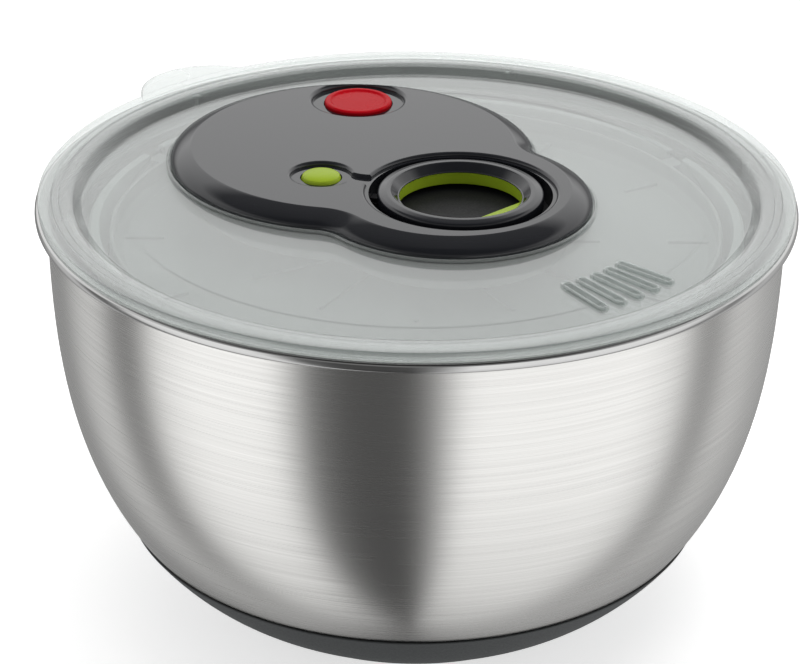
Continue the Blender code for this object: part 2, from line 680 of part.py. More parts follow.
def channel_cut():
    """The shallow trough that joins the release button's dish to the ring's."""
    distance, azimuth = latch_line()
    return radial_box(
        "cut_channel", RELEASE_STEM, distance - RING_DISH + CHANNEL_OVERLAP, CHANNEL_WIDTH,
        COVER_TOP - CHANNEL_DEPTH, COVER_TOP + PAST, azimuth, RELEASE_CENTRE,
    )


def make_tray(plastic):
    """The lobed cup under the lid that closes the gear train in."""
    outer = OPENING_INSET + GAP
    inner = outer + TRAY_WALL
    flange = OPENING_INSET - TRAY_FLANGE
    flange_top = FLOOR_UNDER - GAP
    tray = lobed_solid("gear_tray", [
        (outer + 0.0015, TRAY_UNDER), (outer, TRAY_UNDER + 0.0015), (outer, flange_top - TRAY_WALL),
        (flange, flange_top - TRAY_WALL), (flange, flange_top), (inner, flange_top), (inner, TRAY_FLOOR),
    ], plastic)
    low = TRAY_UNDER - 0.001
    high = TRAY_FLOOR + 0.001
    cuts = [
        cylinder("cut_sleeve_hole", SLEEVE_RADIUS + GAP, low, high, segments=24),
        cylinder("cut_shoe_hole", SHOE_RADIUS + GAP, low, high, STOP_CENTRE, 24),
        cylinder("cut_spool_axle", AXLE_RADIUS + GAP, low, high, SPOOL_CENTRE, 16),
    ]
    for index, place in enumerate(BOSSES):
        cuts.append(cylinder("cut_tray_screw_%d" % (index + 1), SCREW_RADIUS + GAP, low, high, place, 12))
    shape_with(tray, "DIFFERENCE", *cuts)
    smooth(tray)


def make_screws(steel):
    """Self-tapping screws that clamp the lid's floor between tray and cover."""
    head_top = TRAY_UNDER - GAP
    head_low = head_top - SCREW_HEAD_HEIGHT
    tip = TRAY_FLOOR + SCREW_GRIP
    profile = [
        (0.0, tip), (SCREW_RADIUS, tip - 0.0012), (SCREW_RADIUS, head_top), (SCREW_HEAD, head_top),
        (SCREW_HEAD - 0.0008, head_low), (0.0011, head_low), (0.0, head_low + 0.0008),
    ]
    for index, place in enumerate(BOSSES):
        smooth(turned("tray_screw_%d" % (index + 1), profile, steel, place, segments=12))


# Cord, spool and gears

def gear_outline(teeth, turn):
    """Straight-flanked teeth a little thinner than their spaces, so that the pair runs with backlash."""
    pitch_radius = MODULE * teeth / 2
    half_pitch = (math.pi * MODULE / 2 - BACKLASH) / 2 / pitch_radius
    root = pitch_radius - 1.25 * MODULE
    tip = pitch_radius + 0.95 * MODULE
    points = []
    for tooth in range(teeth):
        middle = turn + 2 * math.pi * tooth / teeth
        for radius, share in (
            (root, -1.45), (pitch_radius, -1.0), (tip, -0.40), (tip, 0.40), (pitch_radius, 1.0), (root, 1.45),
        ):
            angle = middle + share * half_pitch
            points.append((radius * math.cos(angle), radius * math.sin(angle)))
    return points


def make_pinion(plastic):
    """The pinion, with the sleeve that carries the clutch below the tray. A space faces the spool."""
    turn = math.radians(SPOOL_AZIMUTH) + math.pi / PINION_TEETH
    pinion = prism("drive_pinion", gear_outline(PINION_TEETH, turn), GEAR_UNDER, GEAR_TOP, plastic)
    sleeve = cylinder("join_sleeve", SLEEVE_RADIUS, CARRIER_UNDER, GEAR_UNDER + BITE, segments=24)
    shape_with(pinion, "UNION", sleeve)
    hole = AXLE_RADIUS + GAP
    bore = cylinder("cut_pinion_bore", hole, CARRIER_UNDER - PAST, GEAR_TOP + PAST, segments=16)
    shape_with(pinion, "DIFFERENCE", bore)


def make_spool(plastic):
    """The spool: a gear below, a hollow drum that the cord winds on, and a thin upper flange."""
    turn = math.radians(SPOOL_AZIMUTH) + math.pi
    spool = prism("cord_spool", gear_outline(SPOOL_TEETH, turn), GEAR_UNDER, GEAR_TOP, plastic, SPOOL_CENTRE)
    top = spool_flange_top()
    flange_low = top - FLANGE_THICKNESS
    hub_radius = AXLE_RADIUS + DRUM_WALL
    drum = cylinder("join_drum", DRUM_RADIUS, GEAR_TOP - BITE, top, SPOOL_CENTRE, ROUND_MEDIUM)
    flange = cylinder("join_flange", SPOOL_FLANGE, flange_low, top, SPOOL_CENTRE, ROUND_MEDIUM)
    hollow_radius = DRUM_RADIUS - DRUM_WALL
    hollow_floor = GEAR_UNDER + DRUM_WALL
    hollow = cylinder("cut_drum", hollow_radius, hollow_floor, top + PAST, SPOOL_CENTRE, ROUND_MEDIUM)
    hub = cylinder("join_hub", hub_radius, GEAR_UNDER + BITE, top - BITE, SPOOL_CENTRE)
    bore = cylinder("cut_spool_bore", AXLE_RADIUS + GAP, GEAR_UNDER - PAST, top + PAST, SPOOL_CENTRE, 16)
    shape_with(spool, "UNION", drum, flange)
    shape_with(spool, "DIFFERENCE", hollow)
    shape_with(spool, "UNION", hub)
    shape_with(spool, "DIFFERENCE", bore)


def spool_flange_top():
    return CEILING - 0.0020 - RUNNING_GAP


def make_winding(cord):
    inner = DRUM_RADIUS + GAP
    low = GEAR_TOP + GAP
    high = spool_flange_top() - FLANGE_THICKNESS - GAP
    profile = tube_profile(inner, inner + CORD_BUILD, low, high)
    smooth(turned("cord_winding", profile, cord, SPOOL_CENTRE, segments=ROUND_MEDIUM, ring=True))


def make_axles(steel):
    top = CUP_UNDER - GAP
    smooth(turned("drive_axle", rod_profile(AXLE_RADIUS, AXLE_END, top, 0.0004), steel, segments=16))
    low = TRAY_UNDER + GAP
    high = CEILING - GAP
    rod = rod_profile(AXLE_RADIUS, low, high, 0.0004)
    smooth(turned("spool_axle", rod, steel, SPOOL_CENTRE, segments=16))


def make_rewind_spring(steel):
    """A flat spiral strip inside the drum."""
    turns = 3.5
    steps_per_turn = 16
    half_strip = 0.00025
    start = AXLE_RADIUS + DRUM_WALL + 2 * GAP + half_strip
    end = DRUM_RADIUS - DRUM_WALL - 2 * GAP - half_strip
    count = int(turns * steps_per_turn)
    outside = []
    inside = []
    for index in range(count + 1):
        angle = 2 * math.pi * index / steps_per_turn
        radius = start + (end - start) * index / count
        outside.append(((radius + half_strip) * math.cos(angle), (radius + half_strip) * math.sin(angle)))
        inside.append(((radius - half_strip) * math.cos(angle), (radius - half_strip) * math.sin(angle)))
    low = GEAR_UNDER + DRUM_WALL + GAP
    high = spool_flange_top() - FLANGE_THICKNESS
    prism("rewind_spring", outside + inside[::-1], low, high, steel, SPOOL_CENTRE)


def make_cord(cord):
    """The cord's run from the winding under the ring's cup, and the end that rises to the ring."""
    level = CUP_UNDER - CORD_RADIUS - 0.0004
    run_x = CORD_EXIT[0] - SPOOL_CENTRE[0]
    run_y = CORD_EXIT[1] - SPOOL_CENTRE[1]
    reach = DRUM_RADIUS + GAP + CORD_BUILD + CORD_RADIUS + GAP
    side = math.atan2(run_y, run_x) + math.acos(reach / math.hypot(run_x, run_y))
    start = (SPOOL_CENTRE[0] + reach * math.cos(side), SPOOL_CENTRE[1] + reach * math.sin(side))
    high = (GEAR_TOP + spool_flange_top()) / 2
    run = []
    for share, rise in CORD_FALL:
        x = start[0] + (CORD_EXIT[0] - start[0]) * share
        y = start[1] + (CORD_EXIT[1] - start[1]) * share
        run.append((x, y, level + (high - level) * rise))
    curve = bpy.data.curves.new("cord_run", "CURVE")
    curve.dimensions = "3D"
    curve.bevel_depth = CORD_RADIUS
    curve.bevel_resolution = 2
    curve.use_fill_caps = True
    spline = curve.splines.new("POLY")
    spline.points.add(len(run) - 1)
    for point, place in zip(spline.points, run):
        point.co = (*place, 1.0)
    curve.materials.append(cord)
    PARTS.objects.link(bpy.data.objects.new("cord_run", curve))
    low = CUP_UNDER
    top = pad_under() - GAP
    smooth(turned("pull_cord", rod_profile(CORD_RADIUS, low, top), cord, CORD_EXIT, segments=12))


def make_eyelet(steel):
    """The bush that the cord passes through in the dish's floor."""
    bore = CORD_RADIUS + GAP
    outer = CORD_RADIUS + EYELET_WALL + GAP
    low = CUP_UNDER + GAP / 2
    seat = DISH_FLOOR + GAP
    top = seat + 0.0006
    lip = outer + 0.0012
    profile = [(bore, top), (lip, top), (lip, seat), (outer, seat), (outer, low), (bore, low)]
    smooth(turned("cord_eyelet", profile, steel, CORD_EXIT, segments=16, ring=True))


# Pull ring

def pad_under():
    return RING_UNDER + GAP


def make_ring(plastic, lime):
    outer = RING_RADIUS
    hole = RING_HOLE
    recess = RING_HOLE + INSERT_WALL
    insert_low = RING_UNDER + GAP
    insert_top = insert_low + INSERT_HEIGHT
    profile = [
        (hole + 0.0034, RING_TOP), (outer - 0.0022, RING_TOP), (outer - 0.0006, RING_TOP - 0.0007),
        (outer, RING_TOP - 0.0022), (outer, RING_UNDER + 0.0006), (outer - 0.0006, RING_UNDER),
        (recess + GAP, RING_UNDER), (recess + GAP, insert_top + GAP), (hole, insert_top + GAP),
        (hole, RING_TOP - 0.0022), (hole + 0.0014, RING_TOP - 0.0006),
    ]
    smooth(turned("pull_ring", profile, plastic, RING_CENTRE, segments=ROUND_MEDIUM, ring=True))
    insert_profile = tube_profile(hole + 0.0004, recess, insert_low, insert_top)
    insert = turned("ring_insert", insert_profile, lime, RING_CENTRE, segments=ROUND_MEDIUM, ring=True)
    half_angle = math.acos(PAD_CHORD / (hole + 0.0014))
    middle = math.radians(PAD_AZIMUTH)
    outline = arc((0.0, 0.0), hole + 0.0014, middle - half_angle, middle + half_angle, 10)
    pad = prism("join_pad", outline, pad_under() + 0.0001, pad_under() + 0.0018, at=RING_CENTRE)
    shape_with(insert, "UNION", pad)
    smooth(insert)


# Buttons

def make_stop(red, rubber, steel):
    """The stop button, its spring, and the shoe that it presses on the drive plate."""
    top = COVER_TOP - STOP_DISH_DEPTH + 0.0009
    skirt = top - 0.0035
    stem_low = TRAY_UNDER + 0.0012
    profile = [
        (0.0, top + 0.0002), (STOP_RADIUS - 0.0028, top + 0.0001), (STOP_RADIUS - 0.0022, top + 0.0006),
        (STOP_RADIUS - 0.0006, top + 0.0006), (STOP_RADIUS, top), (STOP_RADIUS, skirt),
        (STOP_STEM, skirt), (STOP_STEM, stem_low), (0.0, stem_low),
    ]
    smooth(turned("stop_button", profile, red, STOP_CENTRE, segments=28))
    coil("stop_spring", SHOE_RADIUS + 0.0020, 0.0005, TRAY_FLOOR + GAP, skirt - GAP, 4, steel, STOP_CENTRE)
    shoe_top = stem_low - GAP
    shoe_low = PLATE_TOP + STOP_TRAVEL + GAP
    shoe = rod_profile(SHOE_RADIUS, shoe_low, shoe_top, 0.0003)
    smooth(turned("brake_shoe", shoe, rubber, STOP_CENTRE, segments=24))


def make_release(lime, plastic, steel):
    """The release button, its spring, and the latch that it draws back from the ring."""
    top = RELEASE_TOP
    skirt = RELEASE_SKIRT
    floor = CUP_UNDER + 0.0010 + GAP
    stem_low = floor + RELEASE_TRAVEL + GAP
    profile = [
        (0.0, top + 0.0012), (RELEASE_RADIUS * 0.5, top + 0.0009), (RELEASE_RADIUS - 0.0008, top),
        (RELEASE_RADIUS, top - 0.0009), (RELEASE_RADIUS, skirt), (RELEASE_STEM, skirt),
        (RELEASE_STEM, stem_low), (0.0, stem_low),
    ]
    smooth(turned("release_button", profile, lime, RELEASE_CENTRE, segments=24))
    coil("release_spring", RELEASE_STEM + 0.0011, 0.0003, floor, skirt - GAP, 3, steel, RELEASE_CENTRE)
    latch = latch_bar("ring_latch")
    latch.hide_render = False
    latch.display_type = "TEXTURED"
    latch.data.materials.append(plastic)
    CUTTERS.objects.unlink(latch)
    PARTS.objects.link(latch)


# Clutch and drive plate

def make_clutch(plastic, steel):
    carrier = tube_profile(SLEEVE_RADIUS + GAP, CARRIER_RADIUS, CARRIER_UNDER, CARRIER_TOP)
    smooth(turned("pawl_carrier", carrier, plastic, segments=24, ring=True))
    tip = CLUTCH_RADIUS - GAP
    outline = [
        (tip * 0.48, -0.0018), (tip * 0.68, -0.0022), (tip * 0.955, 0.0034), (tip * 0.90, 0.0044),
        (tip * 0.60, 0.0020), (tip * 0.48, 0.0010),
    ]
    for index in range(2):
        pawl = turn_points(outline, 180.0 * index)
        prism("clutch_pawl_%d" % (index + 1), pawl, PAWL_UNDER, PAWL_TOP, steel)
    outer = CLUTCH_RADIUS + CLUTCH_WALL
    wall_top = TRAY_UNDER - RUNNING_GAP
    bore = AXLE_RADIUS + GAP
    drum = [
        (CLUTCH_RADIUS, wall_top), (outer, wall_top), (outer, CLUTCH_UNDER), (bore, CLUTCH_UNDER),
        (bore, CLUTCH_FLOOR_TOP), (CLUTCH_RADIUS, CLUTCH_FLOOR_TOP),
    ]
    smooth(turned("clutch_drum", drum, plastic, segments=ROUND_MEDIUM, ring=True))


def make_plate(plastic, steel):
    """The plate that closes the basket and turns it: a central cup, a flat disc, an upturned rim and lugs."""
    bore = AXLE_RADIUS + GAP
    cup = CLUTCH_RADIUS + CLUTCH_WALL + GAP
    plate_under = PLATE_TOP - PLATE_WALL
    rim_top = PLATE_TOP + PLATE_RIM_HEIGHT
    wall = PLATE_WALL * 0.8
    profile = [
        (bore, PLATE_CUP_TOP), (cup, PLATE_CUP_TOP), (cup, PLATE_TOP),
        (PLATE_RADIUS - wall - 0.0030, PLATE_TOP),
        (PLATE_RADIUS - wall, PLATE_TOP + 0.0030), (PLATE_RADIUS - wall, rim_top), (PLATE_RADIUS, rim_top),
        (PLATE_RADIUS, PLATE_TOP + 0.0020), (PLATE_RADIUS - 0.0035, plate_under),
        (cup + PLATE_WALL, plate_under), (cup + PLATE_WALL, PLATE_CUP_UNDER), (bore, PLATE_CUP_UNDER),
    ]
    plate = turned("drive_plate", profile, plastic, segments=ROUND_LARGE, ring=True)
    lugs = []
    for index in range(LUG_COUNT):
        lugs.append(radial_box(
            "join_lug_%d" % (index + 1), PLATE_RADIUS - wall * 0.6, BASKET_RIM_RADIUS - RUNNING_GAP,
            LUG_WIDTH, rim_top - 0.0030, rim_top - 0.0004, lug_azimuth(index),
        ))
    shape_with(plate, "UNION", *lugs)
    smooth(plate)
    clip_top = PLATE_CUP_UNDER - GAP
    clip = tube_profile(AXLE_RADIUS + GAP, CLIP_RADIUS, clip_top - CLIP_THICKNESS, clip_top)
    smooth(turned("plate_clip", clip, steel, segments=20, ring=True))


clear_scene()
PARTS = make_collection("salad_spinner")
CUTTERS = make_collection("cutters")

brushed_steel = make_material("brushed_steel", (0.62, 0.61, 0.59), 0.32, metallic=1.0)
bright_steel = make_material("bright_steel", (0.70, 0.70, 0.70), 0.20, metallic=1.0)
base_rubber = make_material("base_rubber", (0.030, 0.033, 0.035), 0.65)
clear_plastic = make_material("clear_plastic", (0.86, 0.90, 0.89), 0.05, alpha=0.30)
frosted_plastic = make_material("frosted_plastic", (0.78, 0.80, 0.79), 0.35, alpha=0.75)
black_plastic = make_material("black_plastic", (0.022, 0.024, 0.027), 0.16)
dark_plastic = make_material("dark_plastic", (0.060, 0.062, 0.065), 0.45)
white_plastic = make_material("white_plastic", (0.80, 0.80, 0.78), 0.40)
lime_plastic = make_material("lime_plastic", (0.36, 0.55, 0.035), 0.30)
red_plastic = make_material("red_plastic", (0.68, 0.012, 0.022), 0.22)
shoe_rubber = make_material("shoe_rubber", (0.05, 0.05, 0.05), 0.80)
cord_fibre = make_material("cord_fibre", (0.72, 0.72, 0.68), 0.85)

make_bowl(brushed_steel)
make_base_cap(base_rubber)
PIN_TOP = make_pivot(dark_plastic, bright_steel)
make_basket(frosted_plastic)
make_bush(white_plastic, PIN_TOP)
make_lid(clear_plastic)
make_cover(black_plastic)
make_tray(frosted_plastic)
make_screws(bright_steel)
make_pinion(white_plastic)
make_spool(white_plastic)
make_winding(cord_fibre)
make_axles(bright_steel)
make_rewind_spring(bright_steel)
make_cord(cord_fibre)
make_eyelet(bright_steel)
make_ring(black_plastic, lime_plastic)
make_stop(red_plastic, shoe_rubber, bright_steel)
make_release(lime_plastic, dark_plastic, bright_steel)
make_clutch(white_plastic, bright_steel)
make_plate(frosted_plastic, bright_steel)
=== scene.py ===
"""The looks of a pull-cord salad spinner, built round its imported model. Metres, +Z up."""
import math

import bmesh
import bpy
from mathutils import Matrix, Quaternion, Vector


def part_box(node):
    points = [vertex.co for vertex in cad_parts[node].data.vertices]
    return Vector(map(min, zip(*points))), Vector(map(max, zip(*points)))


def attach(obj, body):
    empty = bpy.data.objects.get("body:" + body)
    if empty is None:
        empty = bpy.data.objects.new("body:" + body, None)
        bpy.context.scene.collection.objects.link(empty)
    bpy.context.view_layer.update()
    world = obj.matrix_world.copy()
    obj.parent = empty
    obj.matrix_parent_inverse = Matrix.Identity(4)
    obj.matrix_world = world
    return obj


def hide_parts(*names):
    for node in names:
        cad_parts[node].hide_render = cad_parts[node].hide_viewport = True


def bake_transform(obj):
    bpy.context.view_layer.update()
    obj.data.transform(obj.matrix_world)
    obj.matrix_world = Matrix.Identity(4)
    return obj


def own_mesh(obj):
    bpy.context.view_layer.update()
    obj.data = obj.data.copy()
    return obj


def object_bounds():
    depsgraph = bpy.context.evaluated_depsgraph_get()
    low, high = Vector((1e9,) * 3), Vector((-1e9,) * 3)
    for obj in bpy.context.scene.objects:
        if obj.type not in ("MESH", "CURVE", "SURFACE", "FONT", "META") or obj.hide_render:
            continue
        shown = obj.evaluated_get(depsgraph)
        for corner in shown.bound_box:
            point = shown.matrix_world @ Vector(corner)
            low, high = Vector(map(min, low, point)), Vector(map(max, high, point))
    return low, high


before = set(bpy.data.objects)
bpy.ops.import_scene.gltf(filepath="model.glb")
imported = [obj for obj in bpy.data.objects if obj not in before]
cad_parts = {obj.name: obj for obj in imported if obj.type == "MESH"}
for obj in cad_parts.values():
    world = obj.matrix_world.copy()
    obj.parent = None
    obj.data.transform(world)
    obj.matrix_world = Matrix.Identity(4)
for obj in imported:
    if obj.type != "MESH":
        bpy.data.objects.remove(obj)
cad_low, cad_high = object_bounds()
bpy.ops.object.select_all(action="DESELECT")


# Studio: a pale floor that fades into the background, and soft lights.
# The camera stands in front, 900 mm away, and looks down at 27 degrees.

CAMERA_DISTANCE = 0.900
CAMERA_PITCH = math.radians(26.61)
CAMERA_ROLL = math.radians(0.48)
CAMERA_LENS = 114.0
AIM = Vector((-0.0053, 0.0, 0.0924))


def node_material(name):
    """An empty node material. Returns the material and its node tree."""
    material = bpy.data.materials.new(name)
    material.use_nodes = True
    material.node_tree.nodes.clear()
    return material, material.node_tree


def add_node(tree, kind, inputs=(), **options):
    """A shader node with its options set, and each input linked to a socket or given a value."""
    node = tree.nodes.new("ShaderNode" + kind)
    for option, value in options.items():
        setattr(node, option, value)
    for name, value in dict(inputs).items():
        if isinstance(value, bpy.types.NodeSocket):
            tree.links.new(value, node.inputs[name])
        else:
            node.inputs[name].default_value = value
    return node


def ranged(tree, source, low, high, start=0.3, end=0.7):
    """Maps a value, such as a noise, to a range."""
    spread = add_node(tree, "MapRange", {
        "Value": source, "From Min": start, "From Max": end, "To Min": low, "To Max": high,
    })
    return spread.outputs["Result"]


def grey_ramp(tree, place, stops):
    """A grey level that follows (place, level) stops."""
    ramp = add_node(tree, "ValToRGB", {"Fac": place})
    elements = ramp.color_ramp.elements
    while len(elements) > 1:
        elements.remove(elements[-1])
    for index, (position, level) in enumerate(stops):
        element = elements[0] if index == 0 else elements.new(position)
        element.position = position
        element.color = (level, level, level, 1.0)
    return ramp.outputs["Color"]


def product(tree, first, second):
    mix = add_node(tree, "MixRGB", {"Fac": 1.0, "Color1": first, "Color2": second}, blend_type="MULTIPLY")
    return mix.outputs["Color"]


def add_camera():
    data = bpy.data.cameras.new("camera")
    data.lens = CAMERA_LENS
    data.sensor_width = 36.0
    camera = bpy.data.objects.new("camera", data)
    bpy.context.scene.collection.objects.link(camera)
    back = Vector((0.0, -math.cos(CAMERA_PITCH), math.sin(CAMERA_PITCH)))
    camera.location = AIM + back * CAMERA_DISTANCE
    camera.rotation_mode = "QUATERNION"
    turn = (-back).to_track_quat("-Z", "Y")
    turn.rotate(Quaternion(back, CAMERA_ROLL))
    camera.rotation_quaternion = turn
    bpy.context.scene.camera = camera


def add_softbox():
    """A broad soft light overhead that no shiny surface reflects."""
    data = bpy.data.lights.new("overhead_softbox", "AREA")
    data.shape = "RECTANGLE"
    data.size = SOFTBOX_SIZE
    data.size_y = SOFTBOX_SIZE
    data.energy = SOFTBOX_POWER
    light = bpy.data.objects.new("overhead_softbox", data)
    light.location = SOFTBOX_PLACE
    light.rotation_mode = "QUATERNION"
    light.rotation_quaternion = (SOFTBOX_TARGET - SOFTBOX_PLACE).to_track_quat("-Z", "Y")
    light.visible_glossy = False
    bpy.context.scene.collection.objects.link(light)


def build_world():
    """A studio seen in reflections: bright panels at both sides and behind, dark between them."""
    world = bpy.data.worlds.new("studio")
    bpy.context.scene.world = world
    world.use_nodes = True
    tree = world.node_tree
    tree.nodes.clear()
    coordinates = add_node(tree, "TexCoord")
    split = add_node(tree, "SeparateXYZ", {0: coordinates.outputs["Generated"]})
    ahead = add_node(tree, "Math", {0: split.outputs["Y"], 1: -1.0}, operation="MULTIPLY")
    turn = add_node(tree, "Math", {0: split.outputs["X"], 1: ahead.outputs[0]}, operation="ARCTAN2")
    azimuth = ranged(tree, turn.outputs[0], 0.0, 1.0, -math.pi, math.pi)
    height = ranged(tree, split.outputs["Z"], 0.0, 1.0, -1.0, 1.0)
    panels = product(tree, grey_ramp(tree, azimuth, PANELS), grey_ramp(tree, height, PANEL_FADE))
    band = product(tree, grey_ramp(tree, height, BAND_LEVEL), grey_ramp(tree, azimuth, BAND_ROUND))
    share = grey_ramp(tree, height, BAND_SHARE)
    mixed = add_node(tree, "MixRGB", {"Fac": share, "Color1": panels, "Color2": band})
    studio = add_node(tree, "Background", {"Color": mixed.outputs["Color"], "Strength": 1.0})
    backdrop = add_node(tree, "Background", {"Color": (1.0, 1.0, 1.0, 1.0), "Strength": 1.0})
    path = add_node(tree, "LightPath")
    seen = add_node(tree, "MixShader", {
        0: path.outputs["Is Camera Ray"], 1: studio.outputs[0], 2: backdrop.outputs[0],
    })
    add_node(tree, "OutputWorld", {"Surface": seen.outputs[0]})


# Azimuth runs from behind, by the left, the camera and the right, to behind again.
PANELS = (
    (0.000, 0.30), (0.108, 0.34), (0.150, 0.80), (0.180, 0.90), (0.205, 0.26), (0.232, 0.22), (0.260, 1.25),
    (0.300, 1.50), (0.375, 1.50), (0.410, 0.22), (0.440, 0.12), (0.495, 0.11), (0.515, 0.35), (0.545, 1.50),
    (0.700, 1.50), (0.745, 1.20), (0.772, 0.38), (0.790, 0.36), (0.820, 0.85), (0.850, 0.75), (0.880, 0.55),
    (0.950, 0.35), (1.000, 0.30),
)
# The panels fade towards the floor.
PANEL_FADE = ((0.0, 0.55), (0.03, 0.72), (0.21, 1.0))
# Height runs from straight down to straight up: a bright band stands above the panels.
BAND_SHARE = ((0.0, 0.0), (0.56, 0.0), (0.64, 1.0))
BAND_LEVEL = ((0.0, 1.45), (0.80, 1.45), (0.86, 0.25), (1.0, 0.22))
# The band is bright behind and dim on the camera's side.
BAND_ROUND = ((0.0, 1.0), (0.22, 0.80), (0.36, 0.22), (0.64, 0.22), (0.78, 0.80), (1.0, 1.0))
SOFTBOX_PLACE = Vector((0.15, 0.10, 1.20))
SOFTBOX_TARGET = Vector((0.0, 0.0, 0.10))
SOFTBOX_SIZE = 0.9
SOFTBOX_POWER = 5.0


def add_floor():
    bpy.ops.mesh.primitive_plane_add(size=8.0, location=(0.0, 0.0, cad_low.z))
    floor = bpy.context.active_object
    floor.name = "floor"
    material, tree = node_material("pale_floor")
    shader = add_node(tree, "BsdfPrincipled", {
        "Base Color": (0.90, 0.90, 0.90, 1.0), "Roughness": 0.60,
        "Emission Color": (1.0, 1.0, 1.0, 1.0), "Emission Strength": 0.62,
    })
    add_node(tree, "OutputMaterial", {"Surface": shader.outputs[0]})
    floor.data.materials.append(material)
    floor.visible_glossy = False
    floor.select_set(False)


bpy.context.scene.view_settings.view_transform = "Standard"
add_camera()
build_world()
add_floor()
add_softbox()


# Bowl: one deep-drawn sheet of stainless steel, brushed round and round outside,
# with its edge rolled outward into a polished lip.

RIM_RADIUS = cad_high.x
BOWL_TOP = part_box("bowl")[1].z
BOWL_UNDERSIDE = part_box("bowl")[0].z
BOWL_WALL = 0.0010
LIP = 0.0035
FOOT_RADIUS = 0.0646
BELLY_POWER = 2.95
ROUND_POWER = 1.50


def soften(profile, radius, steps=4):
    """Rounds the corners of a profile of (radius, z) points. Its ends stay as they are."""
    softened = [profile[0]]
    for before, corner, after in zip(profile, profile[1:], profile[2:]):
        back = Vector(before) - Vector(corner)
        ahead = Vector(after) - Vector(corner)
        reach = min(radius, back.length * 0.48, ahead.length * 0.48)
        start = Vector(corner) + back.normalized() * reach
        end = Vector(corner) + ahead.normalized() * reach
        for step in range(steps + 1):
            share = step / steps
            point = start * (1 - share) ** 2 + Vector(corner) * 2 * share * (1 - share) + end * share ** 2
            softened.append((point.x, point.y))
    softened.append(profile[-1])
    return softened


def extrude_along(profile, centre=(0.0, 0.0)):
    """Extrudes the selected circle, at the profile's first point, through its other points."""
    radius, height = profile[0]
    for next_radius, next_height in profile[1:]:
        bpy.ops.mesh.extrude_region_move(TRANSFORM_OT_translate={"value": (0.0, 0.0, next_height - height)})
        scale = next_radius / radius
        middle = (*centre, next_height)
        bpy.ops.transform.resize(value=(scale, scale, 1.0), center_override=middle)
        radius, height = next_radius, next_height


def lathe(name, profile, centre=(0.0, 0.0), segments=192, ring=False):
    """Turns a profile: a circle is extruded and scaled from point to point, then closed."""
    radius, height = profile[0]
    bpy.ops.mesh.primitive_circle_add(vertices=segments, radius=radius, location=(*centre, height))
    obj = bpy.context.active_object
    obj.name = name
    bpy.ops.object.mode_set(mode="EDIT")
    bpy.ops.mesh.select_all(action="SELECT")
    extrude_along(profile + (profile[:1] if ring else []), centre)
    bpy.ops.mesh.select_all(action="SELECT")
    bpy.ops.mesh.remove_doubles(threshold=0.000002)
    if not ring:
        bpy.ops.mesh.select_all(action="DESELECT")
        bpy.ops.mesh.select_mode(type="EDGE")
        bpy.ops.mesh.select_non_manifold()
        bpy.ops.mesh.fill_holes(sides=0)
        bpy.ops.mesh.select_mode(type="VERT")
    face_outward()
    bpy.ops.object.mode_set(mode="OBJECT")
    bpy.ops.object.transform_apply(location=True, rotation=True, scale=True)
    return obj


def face_outward():
    bpy.ops.mesh.select_all(action="SELECT")
    bpy.ops.mesh.normals_make_consistent(inside=False)


def only_select(obj):
    bpy.ops.object.select_all(action="DESELECT")
    obj.select_set(True)
    bpy.context.view_layer.objects.active = obj


def finish_piece(obj, body, material, nodes=(), angle=35.0):
    """Smooths a piece, gives it its finish, and lets it ride on its body in place of its CAD nodes."""
    only_select(obj)
    bpy.ops.object.transform_apply(location=True, rotation=True, scale=True)
    bpy.ops.object.shade_smooth_by_angle(angle=math.radians(angle))
    flats = obj.modifiers.new("flats", "WEIGHTED_NORMAL")
    flats.keep_sharp = True
    bpy.ops.object.modifier_apply(modifier=flats.name)
    obj.data.materials.clear()
    obj.data.materials.append(material)
    if body:
        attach(obj, body)
    if nodes:
        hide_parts(*nodes)
    obj.select_set(False)
    return obj


def principled(tree, colour, roughness, metallic=0.0):
    """A Principled shader wired to the output."""
    shader = add_node(tree, "BsdfPrincipled", {
        "Base Color": (*colour, 1.0), "Roughness": roughness, "Metallic": metallic,
    })
    add_node(tree, "OutputMaterial", {"Surface": shader.outputs[0]})
    return shader


def object_noise(tree, scale, stretch=(1.0, 1.0, 1.0), detail=3.0):
    """Noise in the object's own coordinates, stretched along its axes."""
    coordinates = add_node(tree, "TexCoord")
    mapping = add_node(tree, "Mapping", {"Vector": coordinates.outputs["Object"], "Scale": stretch})
    noise = add_node(tree, "TexNoise", {"Vector": mapping.outputs[0], "Scale": scale, "Detail": detail})
    return noise.outputs["Fac"]


def add_bump(tree, shader, height, strength, distance):
    bump = add_node(tree, "Bump", {"Height": height, "Strength": strength, "Distance": distance})
    tree.links.new(bump.outputs["Normal"], shader.inputs["Normal"])


def vary_colour(tree, shader, share, first, second):
    mix = add_node(tree, "MixRGB", {"Fac": share, "Color1": (*first, 1.0), "Color2": (*second, 1.0)})
    tree.links.new(mix.outputs["Color"], shader.inputs["Base Color"])


def vary_roughness(tree, shader, noise, low, high):
    tree.links.new(ranged(tree, noise, low, high), shader.inputs["Roughness"])


